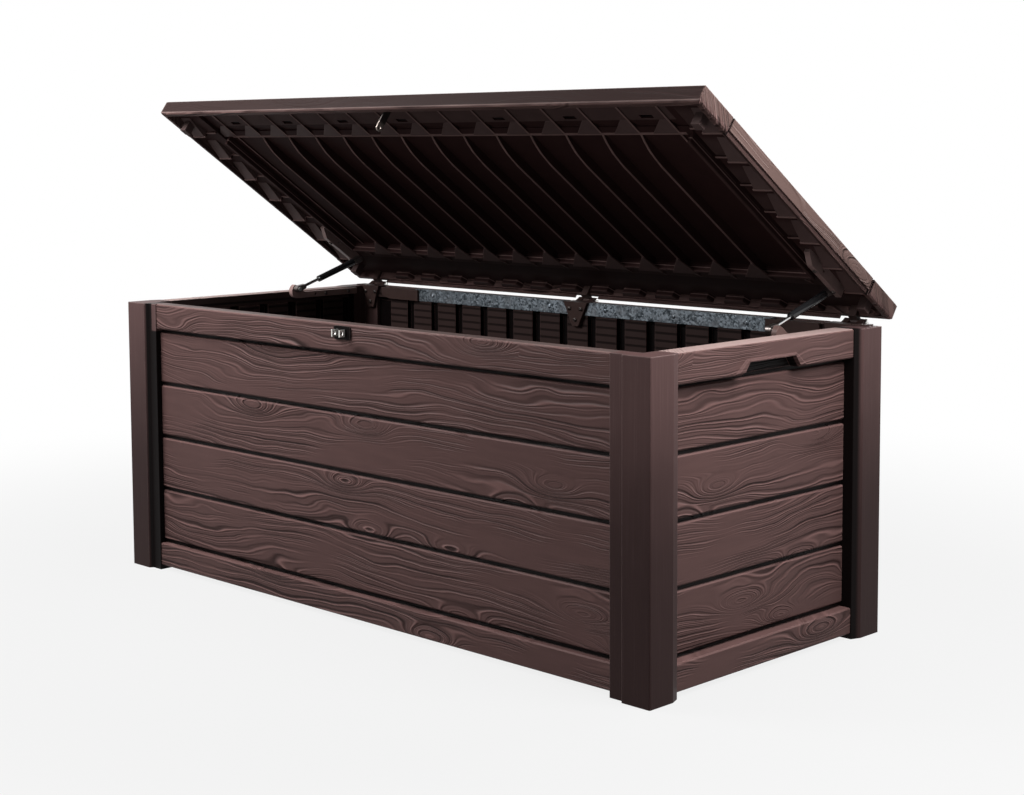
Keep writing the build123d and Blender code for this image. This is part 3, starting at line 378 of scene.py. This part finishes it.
# The left front post's step beside the long wall, below the top rail that covers it, and
# the rear posts' step beside the side walls, lie in shade
past_flat = ramp(tree, from_side, post_flat_x - 0.0015, post_flat_x + 0.002)
front_strip = times(tree, ramp(tree, from_front, 0.001, 0.005), past_flat)
rail_height = ramp(tree, z, planks_top - 0.002, planks_top + 0.002)
past_rail_end = ramp(tree, from_side, rail_overlap - 0.002, rail_overlap + 0.002)
beside_rail = times(tree, rail_height, past_rail_end)
front_strip = times(tree, front_strip, inverse(tree, beside_rail))
for direction in (x, y):
    front_strip = times(tree, front_strip, ramp(tree, times(tree, direction, -1.0), 0.0, 0.1))
past_flat = ramp(tree, from_rear, post_flat_y + 0.0005, post_flat_y + 0.005)
rear_strip = times(tree, ramp(tree, from_side, 0.001, 0.005), past_flat)
rear_strip = times(tree, rear_strip, ramp(tree, y, 0.0, 0.1))
for strip in (front_strip, rear_strip):
    tint = mixed(tree, strip, tint, groove_shade)
rough = calc(tree, "MULTIPLY_ADD", streaks, 0.16, 0.36)
shader.inputs["Specular IOR Level"].default_value = 0.06
height = calc(tree, "MULTIPLY_ADD", speck, 0.25, streaks)
wire_finish(tree, shader, tint, rough, height, 0.8, 0.0003, rounded)
paint(["post_front_left", "post_front_right", "post_rear_left", "post_rear_right"], resin)

# ---- Floor --------------------------------------------------------------------------
# Two ribbed polypropylene halves that lap over each other in the middle and lie on a
# ledge round the walls. Their tops are moulded as boards and gather a little dust.
resin, tree, shader = new_material("floor_resin")
place, x, y = object_place(tree)[:3]
grain_place = combined(tree, times(tree, x, 6.0), times(tree, y, 120.0), 0.0)
grain = noise(tree, grain_place, 1.0, 3.0, 0.6)
dust = noise(tree, place, 7.0, 4.0, 0.6)
tint = mixed(tree, grain, (0.040, 0.028, 0.027), (0.060, 0.043, 0.041))
tint = mixed(tree, times(tree, ramp(tree, dust, 0.5, 0.75), 0.25), tint, (0.16, 0.13, 0.11))
rounded, turned = edge_wear(tree, 0.002)
tint = mixed(tree, times(tree, turned, 0.3), tint, (0.14, 0.10, 0.09))
rough = calc(tree, "MULTIPLY_ADD", dust, 0.3, 0.42)
wire_finish(tree, shader, tint, rough, grain, 0.7, 0.0004, rounded)
paint(["floor_left", "floor_right"], resin)

# ---- Steel bars along the rear wall ---------------------------------------------------
# Two lengths of galvanised steel angle that stiffen the rear wall under the hinges.
# Rivets hold them, and the zinc shows its spangle.
bar_low, bar_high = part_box("rear_bar_right")
rivet_shares = (0.12, 0.5, 0.88)

zinc_sheet, tree, shader = new_material("galvanised_steel")
place = add_node(tree, "TexCoord").outputs["Object"]
spangle = add_node(tree, "TexVoronoi", place)
spangle.inputs["Scale"].default_value = 260.0
spangle.inputs["Randomness"].default_value = 1.0
crystal = add_node(tree, "SeparateColor", spangle.outputs["Color"]).outputs[0]
blotch = noise(tree, place, 26.0, 3.0)
tint = mixed(tree, crystal, (0.040, 0.050, 0.060), (0.30, 0.34, 0.38))
tint = mixed(tree, times(tree, ramp(tree, blotch, 0.5, 0.7), 0.35), tint, (0.22, 0.22, 0.23))
shader.inputs["Metallic"].default_value = 0.85
rough = calc(tree, "MULTIPLY_ADD", crystal, 0.22, 0.34)
wire_finish(tree, shader, tint, rough, crystal, 0.4, 0.0002, edge_wear(tree, 0.0008)[0])
paint(["rear_bar_left", "rear_bar_right"], zinc_sheet)


def modelled(name):
    """Name the object just finished and leave nothing selected."""
    piece = bpy.context.object
    piece.name = name
    bpy.ops.object.mode_set(mode="OBJECT")
    bpy.ops.object.transform_apply(location=True, rotation=True, scale=True)
    bpy.ops.object.shade_smooth_by_angle(angle=math.radians(35))
    bpy.ops.object.select_all(action="DESELECT")
    return piece


def choose_faces(piece, wanted):
    """In edit mode, select only the faces whose normal passes a test."""
    bpy.ops.mesh.select_all(action="DESELECT")
    bpy.ops.object.mode_set(mode="OBJECT")
    for face in piece.data.polygons:
        face.select = wanted(face.normal)
    bpy.ops.object.mode_set(mode="EDIT")


def domed_button(name, radius, height):
    """Low button on the XY plane with a domed top, as a rivet's or a pin's head."""
    middle = (0, 0, height / 2)
    bpy.ops.mesh.primitive_cylinder_add(vertices=20, radius=radius, depth=height, location=middle)
    bpy.ops.object.transform_apply(location=True)
    button = bpy.context.object
    bpy.ops.object.mode_set(mode="EDIT")
    for share, lift in ((0.22, 0.30), (0.30, 0.16), (0.30, 0.05)):
        choose_faces(button, lambda normal: normal.z > 0.9)
        bpy.ops.mesh.inset(thickness=share * radius)
        bpy.ops.transform.translate(value=(0, 0, lift * height))
    return modelled(name)


def set_out(model, name, places, body, material):
    """One piece made of copies of a small model, each turned so that its Z follows a direction."""
    copies = []
    for place, facing in places:
        copy = model.copy()
        copy.data = model.data.copy()
        bpy.context.scene.collection.objects.link(copy)
        turn = Vector(facing).to_track_quat("Z", "Y").to_matrix().to_4x4()
        turn.translation = place
        copy.data.transform(turn)
        copies.append(copy)
    for copy in copies:
        copy.select_set(True)
    bpy.context.view_layer.objects.active = copies[0]
    bpy.ops.object.join()
    piece = bpy.context.object
    piece.name = name
    piece.data.materials.clear()
    piece.data.materials.append(material)
    bpy.ops.object.select_all(action="DESELECT")
    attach(piece, body)


def discard(model):
    """Delete a model that has been copied."""
    bpy.data.objects.remove(model)


rivet = domed_button("rivet", 0.0042, 0.0016)
rivet_z = (bar_low.z + bar_high.z) / 2
rivet_x = [bar_low.x + share * (bar_high.x - bar_low.x) for share in rivet_shares]
rivet_places = [((side * x, bar_low.y, rivet_z), (0, -1, 0)) for side in (-1, 1) for x in rivet_x]
set_out(rivet, "bar_rivets", rivet_places, "base", zinc_sheet)
discard(rivet)

# ---- Bar clips and hinge brackets -------------------------------------------------------
# Satin polypropylene mouldings: a clip holds the outer end of each bar, and three
# brackets on the rear wall carry the hinge pins. Each has three blackened steel screws,
# and the lid's lugs are made of the same resin.
bracket_face_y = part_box("hinge_bracket_centre")[0].y
bracket_middles = (-0.679, 0.0, 0.679)
post_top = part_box("post_rear_left")[1].z


def small_moulding(name, colour, roughness, edge=None, gloss=0.10):
    """Satin moulded resin with a fine eggshell texture, mottling and pale worn edges; an edge colour,
    where given, is a painted highlight.
    """
    made, tree, shader = new_material(name)
    place = add_node(tree, "TexCoord").outputs["Object"]
    cloud = noise(tree, place, 45.0, 4.0, 0.6)
    grain = noise(tree, place, 1200.0, 2.0)
    tint = mixed(tree, cloud, shade(colour, 0.82), shade(colour, 1.18))
    rounded, turned = edge_wear(tree, 0.0012)
    worn = times(tree, turned, calc(tree, "MULTIPLY_ADD", cloud, 0.6, 0.2))
    tint = mixed(tree, worn, tint, edge or shade(colour, 2.2))
    rough = calc(tree, "MULTIPLY_ADD", grain, 0.16, roughness - 0.08)
    shader.inputs["Specular IOR Level"].default_value = gloss
    wire_finish(tree, shader, tint, rough, grain, 0.5, 0.0002, rounded)
    return made


bracket_resin = small_moulding("bracket_resin", (0.050, 0.030, 0.027), 0.42)
paint(["hinge_bracket_left", "hinge_bracket_centre", "hinge_bracket_right"], bracket_resin)
paint(["bar_clip_left", "bar_clip_right"], bracket_resin)
paint(["lid_lug_left", "lid_lug_centre", "lid_lug_right"], bracket_resin)


def pan_head_screw(name, radius):
    """Pan-head screw: a domed button with a cross recess."""
    screw = domed_button(name, radius, 0.55 * radius)
    for turn in (0, math.pi / 2):
        middle = (0, 0, 0.86 * radius)
        bpy.ops.mesh.primitive_cube_add(size=1, location=middle, rotation=(0, 0, turn))
        cutter = bpy.context.object
        cutter.scale = (1.15 * radius, 0.24 * radius, 0.8 * radius)
        bpy.ops.object.transform_apply(location=True, rotation=True, scale=True)
        bpy.ops.object.select_all(action="DESELECT")
        screw.select_set(True)
        bpy.context.view_layer.objects.active = screw
        cut = screw.modifiers.new("cross", "BOOLEAN")
        cut.operation = "DIFFERENCE"
        cut.object = cutter
        bpy.ops.object.modifier_apply(modifier="cross")
        bpy.data.objects.remove(cutter)
    bpy.ops.object.select_all(action="DESELECT")
    return screw


def metal(name, dark, light, roughness, scratch_scale, darkening=None):
    """Small plated or polished steel: tone that varies, fine scratches, bright worn edges."""
    made, tree, shader = new_material(name)
    place = add_node(tree, "TexCoord").outputs["Object"]
    cloud = noise(tree, place, 120.0, 3.0)
    stretched = add_node(tree, "Mapping", place, (0, 0, 0), (0.4, 0.2, 0.7), (1.0, 0.12, 1.0))
    scratch = noise(tree, stretched.outputs[0], scratch_scale, 3.0, 0.7)
    tint = mixed(tree, cloud, dark, light)
    rounded, turned = edge_wear(tree, 0.0007)
    bright = tuple(min(0.9, 1.5 * c) for c in light)
    tint = mixed(tree, times(tree, turned, 0.5), tint, bright)
    if darkening:
        tint = mixed(tree, darkening(tree), tint, (0.030, 0.026, 0.025))
    shader.inputs["Metallic"].default_value = 1.0
    rough = calc(tree, "MULTIPLY_ADD", scratch, 0.2, roughness - 0.1)
    wire_finish(tree, shader, tint, rough, scratch, 0.3, 0.0001, rounded)
    return made


black_steel = metal("blackened_steel", (0.045, 0.038, 0.036), (0.11, 0.09, 0.085), 0.42, 700.0)
screw = pan_head_screw("screw", 0.0042)
screw_places = []
for middle in bracket_middles:
    for across, below in ((-0.017, 0.012), (0.017, 0.012), (0.0, 0.036)):
        screw_places.append(((middle + across, bracket_face_y, post_top - below), (0, -1, 0)))
set_out(screw, "bracket_screws", screw_places, "base", black_steel)

# ---- Hinge pins ---------------------------------------------------------------------
# Bright zinc-plated steel pins, pressed into the brackets' knuckles. The lid's lugs turn
# on them with a little clearance, and each end shows a low domed head.
pins = ["hinge_pin_left", "hinge_pin_centre", "hinge_pin_right"]
pin_low, pin_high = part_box("hinge_pin_centre")
hinge_height = 0.592
hinge = Vector((0, (pin_low.y + pin_high.y) / 2, hinge_height))
zinc_plate = metal("zinc_plated_steel", (0.52, 0.52, 0.50), (0.72, 0.71, 0.68), 0.32, 700.0)
paint(pins, zinc_plate)
pin_head = domed_button("pin_head", 0.0046, 0.0016)
pin_ends = []
for pin in pins:
    low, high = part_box(pin)
    pin_ends.append(((low.x, hinge.y, hinge.z), (-1, 0, 0)))
    pin_ends.append(((high.x, hinge.y, hinge.z), (1, 0, 0)))
set_out(pin_head, "hinge_pin_heads", pin_ends, "base", zinc_plate)
discard(pin_head)

# ---- Lid ----------------------------------------------------------------------------
# One moulded polypropylene shell with a mock-board top: a board along the front, the
# rear and each side, and four between them. Its grain follows the boards. It stands
# open, so its patterns are laid out in the lid's own tilted frame.
lid_angle = math.radians(35)
lid_turn = (lid_angle, 0, 0)
lid_shift = (
    0,
    hinge.z * math.sin(lid_angle) - hinge.y * math.cos(lid_angle),
    -hinge.y * math.sin(lid_angle) - hinge.z * math.cos(lid_angle),
)
lid_brown = (0.070, 0.041, 0.038)
lid_front_shade = (0.017, 0.0095, 0.0088)
lid_side_highlight = (0.086, 0.055, 0.049)
lid_front = -0.7075
lid_side = 0.7710
lid_skin = 0.0375
skirt_inner = 0.7610
board_start = -0.6135
board_pitch = 0.1294
board_end = -0.096
side_board_x = 0.655
rim_height = 0.0178
lip_height = 0.0118


def from_lid(x, along, up):
    """Place in the box's frame of a point given across, along and square to the lid."""
    y = hinge.y + along * math.cos(lid_angle) + up * math.sin(lid_angle)
    z = hinge.z - along * math.sin(lid_angle) + up * math.cos(lid_angle)
    return Vector((x, y, z))


def chosen_way(tree, share, first, second):
    """One number where a mask is 0, and another where it is 1."""
    made = add_node(tree, "Mix", share, data_type="FLOAT")
    tree.links.new(first, made.inputs[2])
    tree.links.new(second, made.inputs[3])
    return made.outputs[0]


resin, tree, shader = new_material("lid_resin")
place, x, along, up = object_place(tree, lid_turn, lid_shift)
outward = calc(tree, "ABSOLUTE", x)
board = calc(tree, "DIVIDE", calc(tree, "SUBTRACT", along, board_start), board_pitch)
behind_front = ramp(tree, along, board_start - 0.0005, board_start + 0.0005)
toward_front = times(tree, along, -1.0)
before_rear = ramp(tree, toward_front, -board_end - 0.0005, -board_end + 0.0005)
between_ends = times(tree, behind_front, before_rear)
# The grain of the side boards runs along them, and that of the others across the lid
on_side = ramp(tree, outward, side_board_x - 0.0005, side_board_x + 0.0005)
on_side = times(tree, on_side, between_ends)
grain_along = chosen_way(tree, on_side, x, along)
grain_across = chosen_way(tree, on_side, calc(tree, "ADD", along, up), calc(tree, "ADD", x, up))
# Painted shade in the hollow over the liner and on the skirt's lower rim
below_skin = inverse(tree, ramp(tree, up, lid_skin + 0.0004, lid_skin + 0.0008))
hollow = times(tree, ramp(tree, up, 0.030, 0.031), below_skin)
on_skirt = ramp(tree, outward, skirt_inner + 0.0005, skirt_inner + 0.0015)
hollow = times(tree, hollow, inverse(tree, on_skirt))
hollow = times(tree, hollow, ramp(tree, along, lid_front + 0.0115, lid_front + 0.0125))
rim = inverse(tree, ramp(tree, up, rim_height - 0.0006, rim_height))
rim = times(tree, rim, ramp(tree, outward, skirt_inner - 0.001, skirt_inner))
rim = times(tree, times(tree, rim, between_ends), 0.55)
# The front face is smoother and painted darker as painted shade, with a painted highlight on its lip
# in places
in_front_face = inverse(tree, ramp(tree, along, lid_front + 0.0006, lid_front + 0.0013))
lip = times(tree, in_front_face, band(tree, up, lip_height, 0.0010, 0.0012))
lip = times(tree, lip, calc(tree, "MULTIPLY_ADD", noise(tree, place, 7.0), 0.7, -0.05))
# A painted highlight on the side faces, strongest on the middle boards
in_side_face = ramp(tree, outward, lid_side - 0.0012, lid_side - 0.0004)
in_side_face = times(tree, in_side_face, ramp(tree, up, rim_height, rim_height + 0.0008))
side_share = calc(tree, "MULTIPLY_ADD", between_ends, 0.35, 0.65)
in_side_face = times(tree, in_side_face, side_share)
# Painted shade in the seams between the side boards
seams = [band(tree, along, seam, 0.0036, 0.0008) for seam in (board_start, board_end)]
on_seam = calc(tree, "MAXIMUM", *seams)
on_seam = times(tree, on_seam, ramp(tree, outward, skirt_inner + 0.0030, skirt_inner + 0.0040))
masks = {
    "smooth": times(tree, in_front_face, 0.75),
    "tones": [
        (hollow, groove_shade),
        (rim, shade(lid_brown, 0.25)),
        (times(tree, in_front_face, 0.9), lid_front_shade),
        (in_side_face, lid_side_highlight),
        (on_seam, groove_shade),
        (lip, highlight_pink),
    ],
}
board_place = (grain_along, grain_across, calc(tree, "FLOOR", board))
timber_resin(tree, shader, lid_brown, board_place, masks, gloss=0.03)
paint(["lid_top"], resin)

# ---- Lid liner and ribs -----------------------------------------------------------------
# The lid's underside is a separate ribbed polypropylene panel, snapped into the skirt: a
# plate at the front with slots, a low beam, and long ribs between deeper beams at the
# sides and the rear. Its crests carry painted highlights; its hollows are painted in deep shade.
liner_crest_highlight = (0.190, 0.120, 0.112)
liner_plate = (0.070, 0.043, 0.041)
liner_shade = (0.0280, 0.0130, 0.0125)
field_front = -0.582
field_side = 0.655
rib_crest = 0.015
beam_crest = 0.030
rib_bend = 0.082
first_side_web = -0.6095
side_web_pitch = 0.0865


def liner_finish(name, lit):
    """Ribbed resin painted in light and shade: highlights on the crests, darker plates, and hollows in
    nearly black shade.
    """
    made, tree, shader = new_material(name)
    place, x, along, up = object_place(tree, lid_turn, lid_shift)
    crests, plates = lit(tree, calc(tree, "ABSOLUTE", x), along, up)
    cloud = noise(tree, place, 24.0, 4.0, 0.6)
    grain = noise(tree, place, 900.0, 2.0)
    rounded, turned = edge_wear(tree, 0.0012)
    tint = mixed(tree, plates, liner_shade, liner_plate)
    tint = mixed(tree, crests, tint, liner_crest_highlight)
    tint = mixed(tree, times(tree, times(tree, turned, plates), 0.4), tint, liner_crest_highlight)
    dusty = mixed(tree, cloud, (0.6, 0.6, 0.6), (1.0, 1.0, 1.0))
    tint = mixed(tree, 1.0, tint, dusty, "MULTIPLY")
    rough = calc(tree, "MULTIPLY_ADD", grain, 0.2, 0.55)
    shader.inputs["Specular IOR Level"].default_value = 0.03
    wire_finish(tree, shader, tint, rough, calc(tree, "ADD", grain, cloud), 0.5, 0.0003, rounded)
    return made


def largest(tree, *values):
    """Largest of several masks."""
    best = values[0]
    for value in values[1:]:
        best = calc(tree, "MAXIMUM", best, value)
    return best


def lit_liner(tree, outward, along, up):
    """Masks of the liner's painted highlights on its crests, and of its plates."""
    # Painted highlights on the crests of the beams, paler at the sides, and of the low webs in the
    # border
    crest = inverse(tree, ramp(tree, up, 0.0128, 0.0140))
    at_side = ramp(tree, outward, 0.714, 0.716)
    crest = times(tree, crest, calc(tree, "MULTIPLY_ADD", at_side, 0.8, 0.2))
    low_web = band(tree, up, 0.0210, 0.0008, 0.0006)
    # The front zone: highlights painted on its webs and beam slope; its plate's trench in painted
    # shadow
    in_front = inverse(tree, ramp(tree, along, field_front - 0.0002, field_front + 0.0004))
    past_field = ramp(tree, outward, field_side, field_side + 0.002)
    in_front = times(tree, in_front, inverse(tree, past_field))
    web = times(tree, in_front, inverse(tree, ramp(tree, up, 0.0303, 0.0308)))
    beam_slope = band(tree, along, field_front - 0.002, 0.0015, 0.001)
    slope = times(tree, times(tree, beam_slope, in_front), 0.5)
    front = times(tree, in_front, inverse(tree, ramp(tree, up, 0.0338, 0.0344)))
    front = times(tree, front, inverse(tree, band(tree, along, -0.605, 0.017, 0.002)))
    # The side border, with a painted shadow just behind each of its webs
    border = band(tree, up, 0.0255, 0.0008, 0.0008)
    from_web = calc(tree, "DIVIDE", calc(tree, "SUBTRACT", along, first_side_web), side_web_pitch)
    border = times(tree, border, ramp(tree, calc(tree, "FRACT", from_web), 0.25, 0.55))
    # Painted highlights on the short webs at the ribs' rear ends
    rear_web = inverse(tree, ramp(tree, up, 0.0240, 0.0250))
    rear_web = times(tree, ramp(tree, along, -0.1325, -0.1315), rear_web)
    rear_web = times(tree, rear_web, inverse(tree, ramp(tree, along, -0.080, -0.079)))
    rear_web = times(tree, rear_web, 0.6)
    crests = largest(tree, crest, low_web, web, slope, rear_web)
    return crests, largest(tree, times(tree, border, 0.6), front)


def lit_ribs(tree, outward, along, up):
    """Painted highlights on the ribs' lower edges, which bend down behind the front beam."""
    passed = calc(tree, "DIVIDE", calc(tree, "SUBTRACT", along, field_front), rib_bend)
    left = calc(tree, "MAXIMUM", inverse(tree, passed), 0.0)
    bend = calc(tree, "POWER", left, 2.1)
    edge = calc(tree, "MULTIPLY_ADD", bend, beam_crest - rib_crest, rib_crest)
    shallow = ramp(tree, outward, 0.60, 0.61)
    crest = inverse(tree, ramp(tree, calc(tree, "SUBTRACT", up, edge), 0.0012, 0.0020))
    outer = times(tree, shallow, inverse(tree, ramp(tree, up, 0.0305, 0.0312)))
    return largest(tree, crest, outer), 0.0


paint(["lid_liner"], liner_finish("liner_resin", lit_liner))
paint(["liner_ribs"], liner_finish("liner_rib_resin", lit_ribs))

# ---- Liner gussets ----------------------------------------------------------------------
# Small tapered webs, moulded with the liner: beside the ribs at the front beam, as caps
# over the ribs' rear ends, and as steps along the sides. They tie its beams together.
rib_pitch = 0.0915
ribs_each_side = 7
side_web_count = 7
side_web_x = 0.7385


def gusset(name, rear_width, front_width, front_shift, length, rear_height, front_height):
    """Tapered web: its rear end is on the XZ plane, its root at Z 0, and it runs along Y."""
    bpy.ops.mesh.primitive_cube_add(size=1, location=(0, 0.5, 0.5))
    bpy.ops.object.transform_apply(location=True)
    web = bpy.context.object
    web.scale = (rear_width, length, rear_height)
    bpy.ops.object.transform_apply(scale=True)
    bpy.ops.object.mode_set(mode="EDIT")
    choose_faces(web, lambda normal: normal.y > 0.9)
    bpy.ops.transform.resize(value=(front_width / rear_width, 1, front_height / rear_height))
    bpy.ops.transform.translate(value=(front_shift, 0, (front_height - rear_height) / 2))
    bpy.ops.mesh.select_all(action="SELECT")
    bpy.ops.mesh.bevel(offset=0.0004, segments=1)
    return modelled(name)


down = from_lid(0, 0, -1) - from_lid(0, 0, 0)
ribs_x = [i * rib_pitch for i in range(-ribs_each_side, ribs_each_side + 1)]
gusset_resin = small_moulding("gusset_resin", (0.064, 0.040, 0.038), 0.62)
web = gusset("front_gusset", 0.058, 0.019, 0.0195, 0.038, 0.0068, 0.0040)
front_webs = [(from_lid(x - 0.0310, -0.5860, 0.0364), down) for x in ribs_x]
set_out(web, "liner_front_gussets", front_webs, "lid", gusset_resin)
discard(web)
# The outermost ribs have no cap, because the closed lid's struts lie there
web = gusset("rear_gusset", 0.062, 0.005, 0.012, 0.048, 0.0050, 0.0025)
rear_caps = [(from_lid(x - 0.0120, -0.1290, 0.0152), down) for x in ribs_x[1:-1]]
set_out(web, "liner_rear_gussets", rear_caps, "lid", gusset_resin)
discard(web)
web = gusset("side_gusset", 0.040, 0.034, 0.0, 0.056, 0.0150, 0.0015)
side_steps = []
for side in (-1, 1):
    for i in range(side_web_count):
        web_along = first_side_web + i * side_web_pitch - 0.0012
        side_steps.append((from_lid(side * side_web_x, web_along, 0.0258), down))
set_out(web, "liner_side_gussets", side_steps, "lid", gusset_resin)
discard(web)

# ---- Rest pads --------------------------------------------------------------------------
# Four firm pads of brown thermoplastic rubber at the liner's corners, on which the
# closed lid rests on the posts. They are pushed into the border.
paint(["lid_rest_pads"], small_moulding("pad_rubber", (0.060, 0.038, 0.036), 0.7))

# ---- Gas struts and their rails -----------------------------------------------------------
# On each side a nitrogen strut joins a resin rail on the wall to one under the lid. The
# cylinder is painted black, the piston rod is polished steel, the end fittings are dark
# steel and the ball studs are zinc plated. The rails are lit and shaded copies of one
# resin: painted light and shade, palest on the left wall rail, darkest on the right.
rail_screw_y = (0.165, 0.235)
lid_screw_along = (-0.180, -0.106)

# Painted light and shade: one rail resin in a lit and a shaded tone
paint(["wall_rail_left"], small_moulding("rail_resin_left_lit", (0.260, 0.172, 0.160), 0.38))
paint(["wall_rail_right"], small_moulding("rail_resin_right_shaded", (0.085, 0.052, 0.047), 0.38))
lid_rail_resin_lit = small_moulding("lid_rail_resin_lit", (0.190, 0.130, 0.122), 0.38)
paint(["lid_rail_left", "lid_rail_right"], lid_rail_resin_lit)
strut_black, tree, shader = new_material("strut_black")
place = add_node(tree, "TexCoord").outputs["Object"]
peel = noise(tree, place, 520.0, 2.0)
scuff = noise(tree, place, 60.0, 5.0, 0.7)
tint = mixed(tree, ramp(tree, scuff, 0.62, 0.72), (0.012, 0.012, 0.013), (0.05, 0.05, 0.052))
rough = calc(tree, "MULTIPLY_ADD", scuff, 0.15, 0.07)
shader.inputs["Specular IOR Level"].default_value = 0.35
wire_finish(tree, shader, tint, rough, peel, 0.25, 0.0002)
paint(["strut_cylinder_left", "strut_cylinder_right"], strut_black)
polished_rod = metal("polished_rod", (0.62, 0.63, 0.64), (0.80, 0.80, 0.80), 0.18, 1400.0)
paint(["strut_rod_left", "strut_rod_right"], polished_rod)
dark_steel = metal("strut_end", (0.09, 0.075, 0.07), (0.24, 0.21, 0.20), 0.38, 600.0)
paint(["rod_eye_left", "rod_eye_right", "cylinder_eye_left", "cylinder_eye_right"], dark_steel)
paint(["lower_stud_left", "lower_stud_right", "upper_stud_left", "upper_stud_right"], zinc_plate)
rail_low, rail_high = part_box("wall_rail_right")
rail_screws = []
for side in (-1, 1):
    for y in rail_screw_y:
        rail_screws.append(((side * rail_low.x, y, post_top - 0.009), (-side, 0, 0)))
set_out(screw, "wall_rail_screws", rail_screws, "base", black_steel)
lid_rail_x = (rail_low.x + rail_high.x) / 2
lid_screws = []
for side in (-1, 1):
    for screw_along in lid_screw_along:
        lid_screws.append((from_lid(side * lid_rail_x, screw_along, 0.0035), down))
set_out(screw, "lid_rail_screws", lid_screws, "lid", black_steel)

# ---- Lock -------------------------------------------------------------------------------
# A black resin plate on the front rail with a bright plated steel staple, and under the
# lid a steel hasp whose eye drops between the staple's ears. Two rivets hold its foot.
hasp_foot_along = -0.6835
hasp_foot_up = 0.0315
hasp_rivet_off = 0.009


def staple_darkening(tree):
    """Mask where the staple is painted near black: its base, close to the plate; its ears keep the
    plated colour.
    """
    y = object_place(tree)[2]
    return ramp(tree, y, front_face_y + 0.0042, front_face_y + 0.0050)


def hasp_darkening(tree):
    """The hasp's foot and neck are dull; only its eye is rubbed bright."""
    up = object_place(tree, lid_turn, lid_shift)[3]
    # Mask where the hasp is painted near black, at its foot and neck; its eye keeps the steel's
    # colour.
    return times(tree, ramp(tree, up, -0.012, -0.006), 0.9)


# The plate's pale rim is a painted highlight
plate_resin = small_moulding("lock_plate_resin", (0.005, 0.004, 0.004), 0.35, highlight_pink, 0.02)
paint(["lock_plate"], plate_resin)
staple_metal = metal("staple_metal", (0.62, 0.60, 0.57), (0.85, 0.84, 0.80), 0.35, 900.0, staple_darkening)
paint(["lock_staple"], staple_metal)
hasp_metal = metal("hasp_metal", (0.10, 0.08, 0.072), (0.25, 0.21, 0.19), 0.40, 900.0, hasp_darkening)
paint(["lid_hasp"], hasp_metal)
hasp_low, hasp_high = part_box("lid_hasp")
hasp_x = (hasp_low.x + hasp_high.x) / 2
rivet = domed_button("rivet", 0.0024, 0.0010)
hasp_rivets = []
for side in (-1, 1):
    rivet_place = from_lid(hasp_x + side * hasp_rivet_off, hasp_foot_along, hasp_foot_up)
    hasp_rivets.append((rivet_place, down))
set_out(rivet, "hasp_rivets", hasp_rivets, "lid", zinc_plate)
discard(rivet)
discard(screw)

# ---- Studio -----------------------------------------------------------------------------
# A white floor that keeps the box's shadow and fades into a white backdrop. A soft key
# light stands at the upper left and a fill at the right, with weak lights from above and
# in front, and a wide one at the rear that lights the back and the lid's top.
floor_fade = (0.9, 2.6)
daylight = 0.14

bpy.ops.mesh.primitive_plane_add(size=30, location=(0, 0, 0))
floor = bpy.context.object
floor.name = "studio_floor"
floor_paint = bpy.data.materials.new("studio_white")
floor_paint.use_nodes = True
tree = floor_paint.node_tree
tree.nodes.clear()
diffuse = add_node(tree, "BsdfDiffuse", (0.22, 0.22, 0.22, 1))
glow = add_node(tree, "Emission", (1, 1, 1, 1), 1.0)
path = add_node(tree, "LightPath")
seen_rays = ("Camera", "Glossy", "Transmission")
seen = largest(tree, *[path.outputs[f"Is {kind} Ray"] for kind in seen_rays])
place = add_node(tree, "TexCoord").outputs["Object"]
distance = add_node(tree, "VectorMath", place, operation="LENGTH").outputs["Value"]
whiter = calc(tree, "MULTIPLY_ADD", ramp(tree, distance, *floor_fade), 0.16, 0.84)
share = times(tree, seen, whiter)
mix = add_node(tree, "MixShader", share, diffuse.outputs[0], glow.outputs[0])
add_node(tree, "OutputMaterial", mix.outputs[0])
floor.data.materials.append(floor_paint)


def softbox(name, place, target, size, power):
    """Rectangular soft light that looks at a target."""
    bpy.ops.object.light_add(type="AREA", location=place)
    lamp = bpy.context.object
    lamp.name = name
    lamp.data.shape = "RECTANGLE"
    lamp.data.size, lamp.data.size_y = size
    lamp.data.energy = power
    lamp.rotation_euler = (Vector(target) - Vector(place)).to_track_quat("-Z", "Y").to_euler()


softbox("key", (-0.9, -1.15, 1.72), (-0.3, -0.3, 0.35), (1.1, 0.7), 50)
softbox("fill", (1.50, -0.1, 1.45), (0.8, -0.1, 0.5), (0.6, 0.9), 33)
softbox("top", (0.0, 0.9, 3.0), (0, 0, 0.5), (2.5, 1.2), 12)
softbox("front", (0.9, -2.9, 0.5), (0, 0, 0.7), (1.4, 0.8), 9)
softbox("rear", (0.3, 2.5, 1.7), (0, 0.3, 0.4), (2.2, 1.2), 75)

world = bpy.data.worlds.new("studio_world")
world.use_nodes = True
bpy.context.scene.world = world
sky = world.node_tree
path = add_node(sky, "LightPath")
seen = largest(sky, *[path.outputs[f"Is {kind} Ray"] for kind in seen_rays])
strength = calc(sky, "MULTIPLY_ADD", seen, 1.0 - daylight, daylight)
back = sky.nodes["Background"]
back.inputs["Color"].default_value = (1, 1, 1, 1)
sky.links.new(strength, back.inputs["Strength"])

bpy.context.scene.view_settings.view_transform = "Standard"
